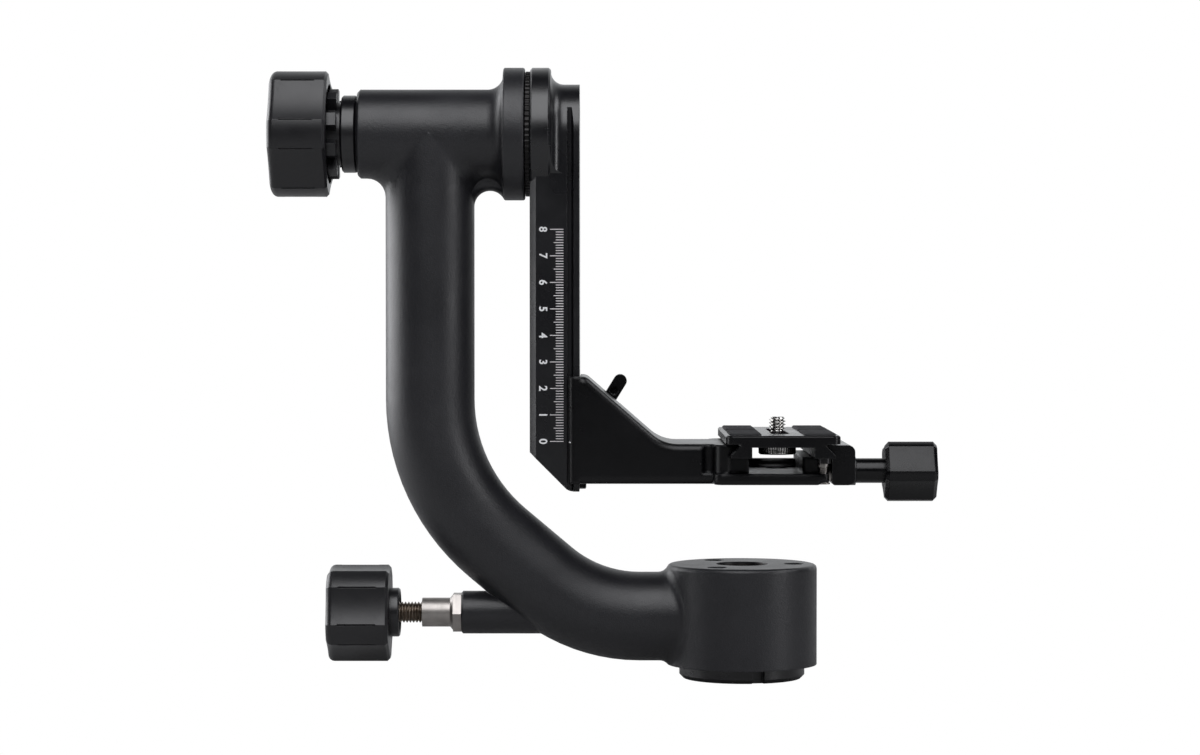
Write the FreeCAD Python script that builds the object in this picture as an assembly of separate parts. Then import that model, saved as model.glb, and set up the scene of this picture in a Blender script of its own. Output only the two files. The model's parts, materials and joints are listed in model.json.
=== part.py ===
import FreeCAD, Part
import os
from math import cos, pi, radians, sin, tan
from FreeCAD import Vector

# Gimbal tripod head. A tube arm turns on a base disc about Z. A rail hangs from its top on a
# level shaft along X. A lens bracket slides up and down the rail and clamps a camera plate.
# Millimetres. +Z is up, +X runs from the arm to the lens, -Y faces the front with the scale.
# The origin is the middle of the base disc's underside, on the pan axis.

# Gaps
pressed_gap = 0.02
running_gap = 0.05
moving_gap = 0.3
thin_gap = 0.1
screw_clearance = 0.2

# Base disc and tripod thread
disc_radius = 24.0
disc_height = 5.0
disc_chamfer = 1.5
notch_count = 3
notch_width = 4.6
notch_depth = 3.0
first_notch_angle = -77.0
thread_radius = 4.0
thread_depth = 12.0
insert_radius = 7.5
insert_roof = 1.0
spindle_screw_count = 3
spindle_screw_circle = 11.2
spindle_screw_length = 12.0
m4_radius = 2.0
m4_head_radius = 3.5
m4_cone_height = 2.0
m4_cap_height = 4.0
m4_socket_radius = 1.7
m4_socket_depth = 2.0
flat_socket_radius = 1.36
flat_socket_depth = 1.4

# Pan bearings and spindle
bearing_width = 7.0
ring_thickness = 1.8
ball_radius = 1.8
ball_gap = 0.12
lower_seat_radius = 15.0
lower_bearing_radius = 21.0
lower_ball_count = 14
upper_seat_radius = 10.0
upper_bearing_radius = 16.0
upper_ball_count = 10
bearing_land = 1.5
bearing_cap_gap = 0.5
drum_radius = 18.0
drum_height = 13.5
neck_height = 1.5
spindle_end_radius = 8.0
washer_thickness = 1.4
nut_height = 5.0
nut_radius = 9.2
nut_slot_count = 4
nut_slot_width = 2.4
nut_slot_depth = 1.6

# Housing at the arm's foot
housing_radius = 28.7
housing_wall = 4.7
housing_cap = 7.6
housing_edge = 1.6
cap_bore_radius = 10.0
cap_relief_depth = 2.0
cap_screw_circle = 20.0
cap_screw_count = 3
cap_screw_length = 16.0
cap_head_seat = 4.6
cap_head_hole_radius = 3.9
carrier_lip = 1.2
carrier_lip_reach = 0.6
drum_clearance = 1.0

# Arm tube
arm_radius = 17.0
arm_x = -119.5
arm_slope = 40.0
elbow_radius = 72.0
foot_bend_radius = 57.0
foot_bend_end_x = -39.4
foot_axis_z = 23.5
foot_fillet = 4.0
tilt_axis_z = 208.2
head_tube_radius = 17.0
head_tube_left_x = -146.9
head_tube_bore = 11.0
head_tube_chamfer = 1.0
head_fillet = 7.0
flange_left_x = -91.3
flange_thickness = 8.2
flange_radius = 25.3
flange_fillet = 6.0
flange_edge = 0.8

# Pan lock
pan_lock_z = 25.0
boss_radius = 8.2
boss_end_x = -107.5
boss_edge = 0.6
m8_radius = 4.0
pad_radius = 4.4
pad_length = 10.0
pad_cup_depth = 4.0
screw_nose_radius = 2.8
pad_bore_length = 16.0
sleeve_radius = 5.55
sleeve_end_x = -122.6
sleeve_taper_length = 1.2
sleeve_hex_length = 3.2
sleeve_hex_radius = 8.2
sleeve_thread_length = 16.0
sleeve_thread_radius = 5.4
pan_knob_radius = 18.7
pan_knob_length = 23.7
pan_knob_x = -134.9
pan_collar_radius = 9.35
pan_collar_length = 3.7
pan_collar_recess = 1.6
pan_collar_wall = 1.4
pan_collar_edge = 0.5
pan_screw_grip = 17.0

# Lobed knobs
lobe_count = 5
valley_angle = 45.5
valley_share = 0.11
slit_width = 0.5
slit_depth = 0.8
slit_margin = 4.6
knob_edge = 2.6
knob_front_edge = 1.0
pan_crest_angle = 23.0
tilt_crest_angle = 2.9

# Tilt shaft, bushes and lock
shaft_radius = 8.0
bush_length = 16.0
shaft_flange_radius = 16.0
shaft_flange_thickness = 4.0
shaft_nose_length = 8.0
shaft_screw_count = 4
shaft_screw_circle = 12.0
shaft_screw_grip = 2.8
shaft_thread_radius = 5.0
shaft_end_x = -175.0
thrust_collar_radius = 14.75
thrust_collar_length = 5.7
thrust_collar_edge = 0.6
friction_disc_radius = 23.85
friction_disc_thickness = 1.8
friction_disc_bore = 17.0
tilt_hub_radius = 12.0
tilt_hub_lug_radius = 17.0
tilt_hub_lug_width = 5.0
tilt_hub_lug_count = 9
tilt_hub_lug_angle = 23.0
tilt_hub_lug_setback = 1.2
tilt_hub_length = 4.7
tilt_knob_radius = 24.0
tilt_knob_length = 22.0
tilt_knob_cup_radius = 19.0
tilt_knob_cup_depth = 6.0
tilt_nut_radius = 8.5
tilt_nut_length = 17.0

# Swing rail
rail_left_x = -81.0
rail_thickness = 18.8
rail_half_width = 18.9
rail_boss_radius = 25.3
rail_boss_thickness = 7.8
rail_boss_fillet = 5.0
rail_boss_edge = 0.8
rail_bevel = 2.4
rail_groove_half_width = 16.4
rail_groove_width = 2.4
rail_lip = 2.2
rail_lip_draft = 0.8
rail_bottom_z = 72.4
rail_cut_top_z = 87.2
rail_cut_corner = 3.0
stop_head_radius = 4.5
stop_head_height = 2.5
stop_head_edge = 0.6
stop_shank_radius = 2.5
stop_shank_length = 4.6

# Lens bracket
bracket_bottom_z = 75.5
bracket_height = 40.5
bracket_slope = 41.1
bracket_top_length = 2.2
bracket_arm_height = 15.1
bracket_inner_curve = 15.0
bracket_outer_curve = 4.0
bracket_half_width = 24.0
bracket_edge = 2.6
claw_reach = 4.2
claw_edge = 2.2
bed_left_x = -12.0
bed_right_x = 31.4
bed_half_length = 31.0
bed_slab_thickness = 4.2
bed_ledge_height = 10.3
bed_setback = 5.0
bed_corner = 4.0
bed_front_corner = 2.0
bed_bridge_height = 3.1
bed_bridge_width = 5.0
bed_channel_left_x = 1.5
bed_channel_right_x = 21.6
bed_recess_radius = 4.5
bed_recess_depth = 0.8
bed_recess_x = 14.0
bed_recess_y = 13.0
fixed_jaw_corner = 6.0
neck_scallop_radius = 2.4
neck_scallop_depth = 1.6
neck_scallop_x = -13.8

# Rear claw and its lever
rear_claw_thickness = 5.8
rear_claw_right_x = -47.0
rear_claw_rise = 2.5
rear_claw_height = 36.0
rear_claw_corner = 3.0
rear_claw_slope_drop = 2.6
claw_pin_radius = 1.5
claw_pin_reach = 10.0
claw_pin_x = -54.0
claw_pin_spread = 11.0
lever_x = -58.4
lever_rise = 18.4
lever_hub_radius = 5.6
lever_hub_length = 7.5
lever_arm_length = 22.6
lever_arm_angle = 58.4
lever_arm_width = 5.2
lever_arm_thickness = 4.6
lever_dimple_radius = 1.6
lever_dimple_depth = 2.4
lever_dimple_place = 18.1
lever_screw_radius = 2.5
lever_screw_reach = 16.0
lever_cap_radius = 3.6
lever_cap_height = 1.6

# Plate clamp
jaw_gap = 0.9
jaw_thickness = 8.7
jaw_lip_height = 4.4
jaw_corner = 2.7
jaw_low_corner = 1.2
clamp_axis_rise = 3.9
clamp_screw_radius = 3.0
clamp_screw_grip = 9.0
clamp_screw_end_x = 66.0
clamp_washer_radius = 5.6
clamp_washer_thickness = 2.4
clamp_sleeve_radius = 4.75
clamp_sleeve_end_x = 69.0
clamp_knob_x = 54.4
clamp_knob_length = 19.9
clamp_knob_radius = 11.7
clamp_valley_angle = 53.0
clamp_valley_share = 0.14
clamp_crest_angle = 7.6
clamp_knob_edge = 1.4
guide_pin_radius = 2.0
guide_pin_setback = 9.0
guide_pin_grip = 8.0
guide_pin_length = 16.0
spring_pocket_depth = 4.5
spring_wall = 0.8
spring_gap = 0.15
stop_pin_x = 29.3
stop_pin_setback = 2.4
stop_pin_radius = 1.5
stop_pin_head_radius = 2.1
stop_pin_head_height = 2.0
stop_pin_drop = 1.4
stop_pin_clip_radius = 2.4
stop_pin_clip_height = 0.6
stop_pin_spring_wall = 0.35

# Camera plate
plate_x = 13.5
plate_half_length = 43.5
plate_height = 8.4
plate_half_width = 21.25
plate_lip = 3.2
plate_neck_half_width = 15.8
plate_foot_half_width = 19.2
plate_foot_height = 1.1
plate_web = 4.4
plate_channel_half_width = 11.6
plate_corner = 3.0
plate_edge = 0.5
slot_half_width = 3.3
slot_half_length = 24.0
pad_inner_x = 8.0
pad_width = 11.6
pad_inner_y = 4.0
pad_strip_length = 35.5
pad_rise = 0.8
pad_seat = 0.5
quarter_thread_radius = 3.175
camera_screw_rise = 5.6
camera_neck_radius = 2.6
camera_head_radius = 7.2
camera_head_height = 3.6
camera_head_slot = 1.6
camera_washer_thickness = 0.6
camera_washer_radius = 6.5
plate_stop_y = 40.0
plate_stop_x = 15.4
plate_stop_head_radius = 2.4
plate_stop_head_height = 2.0
plate_stop_shank_radius = 1.25
plate_stop_shank_length = 3.2

# Places that follow from the sizes above
lower_bearing_z = disc_height + bearing_land
drum_z = lower_bearing_z + bearing_width
neck_z = drum_z + drum_height
upper_bearing_z = neck_z + neck_height
cap_z = upper_bearing_z + bearing_width + bearing_cap_gap
housing_z = disc_height + moving_gap
housing_top_z = cap_z + housing_cap
cavity_radius = housing_radius - housing_wall
head_seat_z = housing_top_z - cap_head_seat
flange_face_x = flange_left_x + flange_thickness
pan_knob_end_x = pan_knob_x - pan_knob_length
pan_collar_x = pan_knob_x + pan_collar_length
tilt_collar_end_x = head_tube_left_x - moving_gap - thrust_collar_length
tilt_hub_end_x = tilt_collar_end_x - moving_gap - tilt_hub_length
tilt_knob_end_x = tilt_hub_end_x - tilt_knob_length
boss_face_x = rail_left_x
rail_face_x = rail_left_x + rail_thickness
rail_groove_end_x = rail_face_x - rail_lip
rail_groove_x = rail_groove_end_x - rail_groove_width
bracket_back_x = rail_face_x + moving_gap
claw_x = bracket_back_x - claw_reach
claw_inner_y = rail_half_width + moving_gap
rear_claw_y = claw_inner_y + rear_claw_thickness
stop_screw_z = rail_bottom_z + stop_head_radius
bracket_top_z = bracket_bottom_z + bracket_height
bracket_arm_z = bracket_bottom_z + bracket_arm_height
bed_slab_top_z = bracket_bottom_z + bed_slab_thickness
bed_ledge_z = bracket_bottom_z + bed_ledge_height
rear_claw_bottom_z = bracket_bottom_z + rear_claw_rise
lever_z = bracket_bottom_z + lever_rise
clamp_axis_z = bracket_bottom_z + clamp_axis_rise
plate_bottom_z = bed_ledge_z + moving_gap
jaw_top_z = plate_bottom_z + jaw_lip_height
stop_pin_y = -bed_half_length + stop_pin_setback
stop_pin_top_z = bed_ledge_z - stop_pin_drop
guide_pin_spread = bed_half_length - guide_pin_setback
jaw_x = bed_right_x + jaw_gap
jaw_end_x = jaw_x + jaw_thickness
plate_top_z = plate_bottom_z + plate_height
camera_washer_top_z = plate_top_z - plate_web - thin_gap
camera_head_top_z = camera_washer_top_z - camera_washer_thickness - thin_gap


def cylinder(radius, start, end, direction="z", at=(0, 0)):
    places = {"x": Vector(start, at[0], at[1]), "y": Vector(at[0], start, at[1]),
              "z": Vector(at[0], at[1], start)}
    ways = {"x": Vector(1, 0, 0), "y": Vector(0, 1, 0), "z": Vector(0, 0, 1)}
    return Part.makeCylinder(radius, end - start, places[direction], ways[direction])


def cone(radius_start, radius_end, start, end, direction="z", at=(0, 0)):
    places = {"x": Vector(start, at[0], at[1]), "y": Vector(at[0], start, at[1]),
              "z": Vector(at[0], at[1], start)}
    ways = {"x": Vector(1, 0, 0), "y": Vector(0, 1, 0), "z": Vector(0, 0, 1)}
    return Part.makeCone(radius_start, radius_end, end - start, places[direction], ways[direction])


def block(x_range, y_range, z_range):
    sizes = [high - low for low, high in (x_range, y_range, z_range)]
    return Part.makeBox(*sizes, Vector(x_range[0], y_range[0], z_range[0]))


def prism(points, direction, start, end):
    place = {"x": lambda a, b: Vector(start, a, b), "y": lambda a, b: Vector(a, start, b),
             "z": lambda a, b: Vector(a, b, start)}[direction]
    corners = [place(a, b) for a, b in points]
    way = {"x": Vector(1, 0, 0), "y": Vector(0, 1, 0), "z": Vector(0, 0, 1)}[direction]
    return Part.Face(Part.makePolygon(corners + corners[:1])).extrude(way * (end - start))


def slot(half_width, low_y, high_y, x, z_range):
    middle = block((x - half_width, x + half_width), (low_y, high_y), z_range)
    ends = [cylinder(half_width, z_range[0], z_range[1], "z", (x, y)) for y in (low_y, high_y)]
    return middle.fuse(ends).removeSplitter()


def ring(inner, outer, start, end, direction="z", at=(0, 0)):
    return cylinder(outer, start, end, direction, at).cut(
        cylinder(inner, start - 1, end + 1, direction, at))


def hexagon(corner_radius, start, end, at):
    points = [(at[0] + corner_radius * cos(k * pi / 3), at[1] + corner_radius * sin(k * pi / 3))
              for k in range(6)]
    return prism(points, "x", start, end)


def turned(shape, angle, direction="z", at=(0, 0, 0)):
    way = {"x": Vector(1, 0, 0), "y": Vector(0, 1, 0), "z": Vector(0, 0, 1)}[direction]
    copy = shape.copy()
    copy.rotate(Vector(*at), way, angle)
    return copy


def around(shape, count, first=0.0, direction="z", at=(0, 0, 0)):
    return [turned(shape, first + k * 360.0 / count, direction, at) for k in range(count)]


def edges_where(shape, test):
    return [edge for edge in shape.Edges if test(edge.BoundBox, edge)]


def flat_at(low, high, value):
    return abs(low - value) < 0.01 and abs(high - value) < 0.01


def whole(shape):
    solids = shape.Solids
    return solids[0] if len(solids) == 1 else Part.makeCompound(solids)


def countersunk(start, end, direction, at, length_sign):
    # The head's flat lies at start, and the shank runs to end.
    neck = start + length_sign * m4_cone_height
    low, high = sorted((start, neck))
    radii = (m4_head_radius, m4_radius) if length_sign > 0 else (m4_radius, m4_head_radius)
    head = cone(radii[0], radii[1], low, high, direction, at)
    low, high = sorted((neck, end))
    shank = cylinder(m4_radius, low, high, direction, at)
    low, high = sorted((start, start + length_sign * flat_socket_depth))
    socket = cylinder(flat_socket_radius, low, high, direction, at)
    return head.fuse(shank).removeSplitter().cut(socket)


def countersink(start, end, direction, at, length_sign):
    grown = m4_head_radius + pressed_gap
    neck = start + length_sign * m4_cone_height
    low, high = sorted((start, neck))
    radii = (grown, m4_radius + pressed_gap) if length_sign > 0 else (m4_radius + pressed_gap, grown)
    head = cone(radii[0], radii[1], low, high, direction, at)
    low, high = sorted((neck, end))
    return head.fuse(cylinder(m4_radius + pressed_gap, low, high, direction, at))


# Base, the fixed body

def base_disc():
    disc = cylinder(disc_radius, 0, disc_height)
    disc = disc.makeChamfer(disc_chamfer, edges_where(disc, lambda b, e: flat_at(b.ZMin, b.ZMax, 0)))
    land = ring(lower_seat_radius + pressed_gap, lower_seat_radius + ring_thickness, disc_height,
                lower_bearing_z)
    disc = disc.fuse(land)
    notch = block((disc_radius - notch_depth, disc_radius + 1),
                  (-notch_width / 2, notch_width / 2), (-1, disc_height + 1))
    screw_hole = countersink(0, disc_height + 1, "z", (spindle_screw_circle, 0), 1)
    cuts = around(notch, notch_count, first_notch_angle)
    cuts += around(screw_hole, spindle_screw_count, 60)
    cuts.append(cylinder(insert_radius + pressed_gap, -1, disc_height + 1))
    return disc.cut(cuts).removeSplitter()


def tripod_thread_insert():
    body = cylinder(insert_radius, 0, thread_depth + insert_roof)
    return body.cut(cylinder(thread_radius, -1, thread_depth))


def pan_spindle():
    parts = [cylinder(lower_seat_radius - pressed_gap, disc_height, drum_z),
             cylinder(drum_radius, drum_z, neck_z),
             cylinder(upper_seat_radius + ring_thickness, neck_z, upper_bearing_z),
             cylinder(upper_seat_radius - pressed_gap, upper_bearing_z, upper_bearing_z + bearing_width),
             cylinder(spindle_end_radius, upper_bearing_z + bearing_width,
                      upper_bearing_z + bearing_width + washer_thickness + nut_height)]
    shaft = parts[0].fuse(parts[1:]).removeSplitter()
    socket = cylinder(insert_radius + pressed_gap, 0, thread_depth + insert_roof + pressed_gap)
    hole = cylinder(m4_radius + pressed_gap, 0, spindle_screw_length + 1, "z",
                    (spindle_screw_circle, 0))
    return shaft.cut([socket] + around(hole, spindle_screw_count, 60))


def spindle_screws():
    screw = countersunk(0, spindle_screw_length, "z", (spindle_screw_circle, 0), 1)
    return Part.makeCompound(around(screw, spindle_screw_count, 60))


def bearing_ring(inner, outer, z, ball_circle):
    body = ring(inner, outer, z, z + bearing_width)
    groove = Part.makeTorus(ball_circle, ball_radius + ball_gap, Vector(0, 0, z + bearing_width / 2))
    return body.cut(groove)


def ball_circle(seat_radius, bearing_radius):
    return (seat_radius + bearing_radius) / 2


def bearing_balls(circle, count, z):
    ball = Part.makeSphere(ball_radius, Vector(circle, 0, z + bearing_width / 2))
    return Part.makeCompound(around(ball, count))


def bearing_washer():
    z = upper_bearing_z + bearing_width
    return ring(spindle_end_radius + running_gap, upper_seat_radius + ring_thickness, z,
                z + washer_thickness)


def pan_retaining_nut():
    z = upper_bearing_z + bearing_width + washer_thickness
    nut = ring(spindle_end_radius + pressed_gap, nut_radius, z, z + nut_height)
    slots = block((spindle_end_radius - 1, nut_radius + 1), (-nut_slot_width / 2, nut_slot_width / 2),
                  (z + nut_height - nut_slot_depth, z + nut_height + 1))
    return nut.cut(around(slots, nut_slot_count, 45))


# Arm, which turns on the base

def arm_path():
    slope = radians(arm_slope)
    turn = pi / 2 - slope
    foot_centre = Vector(foot_bend_end_x, 0, foot_axis_z + foot_bend_radius)
    foot_start = foot_centre + Vector(-sin(slope), 0, -cos(slope)) * foot_bend_radius
    elbow_end_x = arm_x + elbow_radius * (1 - cos(turn))
    rise = (foot_start.x - elbow_end_x) * tan(slope)
    elbow_end = Vector(elbow_end_x, 0, foot_start.z + rise)
    elbow_centre = Vector(arm_x + elbow_radius, 0, elbow_end.z + elbow_radius * sin(turn))
    elbow_start = Vector(arm_x, 0, elbow_centre.z)
    elbow_middle = elbow_centre - Vector(cos(turn / 2), 0, sin(turn / 2)) * elbow_radius
    foot_middle = foot_centre - Vector(sin(slope / 2), 0, cos(slope / 2)) * foot_bend_radius
    foot_end = Vector(foot_bend_end_x, 0, foot_axis_z)
    top = Vector(arm_x, 0, tilt_axis_z)
    return Part.Wire([Part.makeLine(top, elbow_start),
                      Part.Arc(elbow_start, elbow_middle, elbow_end).toShape(),
                      Part.makeLine(elbow_end, foot_start),
                      Part.Arc(foot_start, foot_middle, foot_end).toShape(),
                      Part.makeLine(foot_end, Vector(-lower_bearing_radius, 0, foot_axis_z))])


def arm_tube():
    section = Part.Wire([Part.makeCircle(arm_radius, Vector(arm_x, 0, tilt_axis_z), Vector(0, 0, -1))])
    tube = arm_path().makePipeShell([section], True, False)
    head = cylinder(head_tube_radius, head_tube_left_x, flange_left_x, "x", (0, tilt_axis_z))
    ends = edges_where(head, lambda b, e: flat_at(b.XMin, b.XMax, head_tube_left_x))
    head = head.makeChamfer(head_tube_chamfer, ends)
    joined = tube.fuse(head).removeSplitter()
    low_z = tilt_axis_z - head_tube_radius - head_tube_chamfer

    def at_the_corner(box, edge):
        near_arm = box.XMin > arm_x - arm_radius - 1 and box.XMax < arm_x + arm_radius + 1
        return near_arm and box.ZMin > low_z and box.ZMax < tilt_axis_z + 1 and edge.Length > arm_radius

    return joined.makeFillet(head_fillet, edges_where(joined, at_the_corner))


def swing_arm():
    tube = arm_tube()
    housing = cylinder(housing_radius, housing_z, housing_top_z)
    rims = edges_where(housing, lambda b, e: flat_at(b.ZMin, b.ZMax, housing_top_z))
    housing = housing.makeFillet(housing_edge, rims)
    body = tube.fuse(housing).removeSplitter()

    def at_the_foot(box, edge):
        centre_x = -(box.XMin + box.XMax) / 2
        beside = drum_radius < centre_x < housing_radius
        inside = box.ZMin > housing_z + 0.1 and box.ZMax < housing_top_z - 0.1
        return beside and inside and edge.Length > arm_radius

    body = body.makeFillet(foot_fillet, edges_where(body, at_the_foot))
    flange = cylinder(flange_radius, flange_left_x, flange_face_x, "x", (0, tilt_axis_z))
    flange = flange.makeFillet(flange_edge, edges_where(flange, lambda b, e: b.XLength < 0.01))
    body = body.fuse(flange)
    inner = edges_where(body, lambda b, e: flat_at(b.XMin, b.XMax, flange_left_x) and
                        b.ZLength < 2 * head_tube_radius + 0.5)
    body = body.makeFillet(flange_fillet, inner)
    body = body.cut(ring(head_tube_radius, flange_radius + 1, flange_left_x, flange_face_x + 1, "x",
                         (0, tilt_axis_z)))
    boss = cylinder(boss_radius, boss_end_x, foot_bend_end_x, "x", (0, pan_lock_z))
    rim = edges_where(boss, lambda b, e: flat_at(b.XMin, b.XMax, boss_end_x))
    boss = boss.makeChamfer(boss_edge, rim)
    body = body.fuse(boss).removeSplitter()
    head_hole = cylinder(cap_head_hole_radius, head_seat_z, housing_top_z + 1, "z", (cap_screw_circle, 0))
    screw_hole = cylinder(m4_radius + pressed_gap, cap_z - 1, head_seat_z + 1, "z", (cap_screw_circle, 0))
    relief_radius = upper_seat_radius + ring_thickness + moving_gap
    sleeve_seat = sleeve_thread_radius + pressed_gap
    cuts = [cylinder(cavity_radius, housing_z - 1, cap_z),
            cylinder(relief_radius, cap_z - 1, cap_z + cap_relief_depth),
            cylinder(cap_bore_radius, cap_z, housing_top_z + 1),
            cylinder(m8_radius + screw_clearance, boss_end_x - 1, -cavity_radius, "x", (0, pan_lock_z)),
            cylinder(pad_radius + moving_gap, -cavity_radius - pad_bore_length, -cavity_radius + 2, "x",
                     (0, pan_lock_z)),
            cylinder(sleeve_seat, boss_end_x - 1, boss_end_x + sleeve_thread_length + 1, "x",
                     (0, pan_lock_z)),
            cylinder(head_tube_bore, head_tube_left_x - 1, flange_face_x + 1, "x", (0, tilt_axis_z))]
    cuts += around(head_hole, cap_screw_count)
    cuts += around(screw_hole, cap_screw_count)
    return body.cut(cuts)


def tilt_flange():
    at = (0, tilt_axis_z)
    body = cylinder(flange_radius, flange_left_x, flange_face_x, "x", at)
    body = body.makeFillet(flange_edge, edges_where(body, lambda b, e: b.XLength < 0.01))
    return body.cut(cylinder(head_tube_radius + pressed_gap, flange_left_x - 1, flange_face_x + 1, "x", at))


def bearing_carrier():
    body = cylinder(cavity_radius - pressed_gap, housing_z + moving_gap, cap_z)
    lip_z = upper_bearing_z - carrier_lip
    hole = cylinder(m4_radius + pressed_gap, cap_z - cap_screw_length, cap_z + 1, "z",
                    (cap_screw_circle, 0))
    cuts = [cylinder(lower_bearing_radius + pressed_gap, housing_z, lower_bearing_z + bearing_width),
            cylinder(drum_radius + drum_clearance, lower_bearing_z, lip_z),
            cylinder(upper_bearing_radius - ring_thickness + carrier_lip_reach, lip_z - 1, cap_z + 1),
            cylinder(upper_bearing_radius + pressed_gap, upper_bearing_z, cap_z + 1),
            cylinder(pad_radius + moving_gap, -cavity_radius - 1, -drum_radius + 0.5, "x",
                     (0, pan_lock_z))]
    return body.cut(cuts + around(hole, cap_screw_count))


def carrier_cap_screws():
    head = cylinder(m4_head_radius, head_seat_z, head_seat_z + m4_cap_height, "z", (cap_screw_circle, 0))
    shank = cylinder(m4_radius, head_seat_z - cap_screw_length, head_seat_z, "z", (cap_screw_circle, 0))
    points = [(cap_screw_circle + m4_socket_radius * cos(k * pi / 3), m4_socket_radius * sin(k * pi / 3))
              for k in range(6)]
    top = head_seat_z + m4_cap_height
    socket = prism(points, "z", top - m4_socket_depth, top + 1)
    return Part.makeCompound(around(head.fuse(shank).cut(socket), cap_screw_count))


def pan_guide_sleeve():
    hex_x = boss_end_x - sleeve_hex_length
    taper_x = hex_x - sleeve_taper_length
    at = (0, pan_lock_z)
    parts = [hexagon(sleeve_hex_radius, hex_x, boss_end_x, at),
             cone(sleeve_radius, sleeve_hex_radius * cos(pi / 6), taper_x, hex_x, "x", at),
             cylinder(sleeve_radius, sleeve_end_x, taper_x, "x", at),
             cylinder(sleeve_thread_radius, boss_end_x, boss_end_x + sleeve_thread_length, "x", at)]
    body = parts[0].fuse(parts[1:]).removeSplitter()
    bore = cylinder(m8_radius + running_gap, sleeve_end_x - 1, boss_end_x + sleeve_thread_length + 1,
                    "x", at)
    return body.cut(bore)


def tilt_bush(start, end):
    return ring(shaft_radius + running_gap, head_tube_bore - pressed_gap, start, end, "x", (0, tilt_axis_z))


# Pan lock

def pan_brake_pad():
    at = (0, pan_lock_z)
    tip = -drum_radius - moving_gap
    body = cylinder(pad_radius, tip - pad_length, -drum_radius + 1, "x", at)
    cup = cylinder(screw_nose_radius + running_gap, tip - pad_length - 1, tip - pad_length + pad_cup_depth,
                   "x", at)
    return body.cut([cylinder(drum_radius + moving_gap, 0, 2 * pan_lock_z), cup])


def pan_lock_screw():
    at = (0, pan_lock_z)
    back = -drum_radius - moving_gap - pad_length
    shank = cylinder(m8_radius, pan_knob_x - pan_screw_grip, back - moving_gap, "x", at)
    nose = cylinder(screw_nose_radius, back - moving_gap, back + pad_cup_depth - running_gap, "x", at)
    return shank.fuse(nose).removeSplitter()


def lobed_knob(radius, end_x, start_x, z, crest_angle, width=valley_angle, share=valley_share):
    # Lands of the full radius alternate with hollow valleys, which meet them on a chord.
    at = (0, z)
    knob = cylinder(radius, end_x, start_x, "x", at)
    chord = radius * sin(radians(width / 2))
    sag = radius * (share - 1 + cos(radians(width / 2)))
    valley_radius = (chord ** 2 + sag ** 2) / (2 * sag)
    distance = radius * (1 - share) + valley_radius
    valley = cylinder(valley_radius, end_x - 1, start_x + 1, "x", (-distance, z))
    first = crest_angle + 180.0 / lobe_count
    return knob.cut(around(valley, lobe_count, first, "x", (0, 0, z)))


def slitted(knob, radius, end_x, start_x, z, crest_angle):
    # A short closed slit runs along each edge between a land and a valley.
    slit = block((end_x + slit_margin, start_x - slit_margin), (-radius - 1, -radius + slit_depth),
                 (z - slit_width / 2, z + slit_width / 2))
    half_land = 180.0 / lobe_count - valley_angle / 2
    slits = []
    for side in (-1, 1):
        slits += around(slit, lobe_count, crest_angle + side * half_land, "x", (0, 0, z))
    return knob.cut(slits)


def edged_knob(radius, end_x, start_x, z, crest_angle):
    knob = lobed_knob(radius, end_x, start_x, z, crest_angle)
    knob = knob.makeFillet(knob_edge, edges_where(knob, lambda b, e: flat_at(b.XMin, b.XMax, end_x)))
    knob = knob.makeChamfer(knob_front_edge,
                            edges_where(knob, lambda b, e: flat_at(b.XMin, b.XMax, start_x)))
    return slitted(knob, radius, end_x, start_x, z, crest_angle)


def pan_knob():
    knob = edged_knob(pan_knob_radius, pan_knob_end_x, pan_knob_x, pan_lock_z, pan_crest_angle)
    return knob.cut(cylinder(m8_radius + pressed_gap, pan_knob_x - pan_screw_grip - pressed_gap,
                             pan_knob_x + 1, "x", (0, pan_lock_z)))


def pan_knob_collar():
    at = (0, pan_lock_z)
    body = ring(m8_radius + pressed_gap, pan_collar_radius, pan_knob_x, pan_collar_x, "x", at)
    rims = edges_where(body, lambda b, e: flat_at(b.XMin, b.XMax, pan_collar_x) and b.YLength > 10)
    body = body.makeChamfer(pan_collar_edge, rims)
    return body.cut(ring(m8_radius, pan_collar_radius - pan_collar_wall, pan_collar_x - pan_collar_recess,
                         pan_collar_x + 1, "x", at))


# Swing, which tilts on the arm

def rail_section():
    half = []
    half.append((rail_left_x, rail_half_width - rail_bevel))
    half.append((rail_left_x + rail_bevel, rail_half_width))
    half.append((rail_groove_x, rail_half_width))
    half.append((rail_groove_x, rail_groove_half_width))
    half.append((rail_groove_end_x - rail_lip_draft, rail_groove_half_width))
    half.append((rail_groove_end_x, rail_half_width))
    half.append((rail_face_x, rail_half_width))
    return half + [(x, -y) for x, y in reversed(half)]


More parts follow.
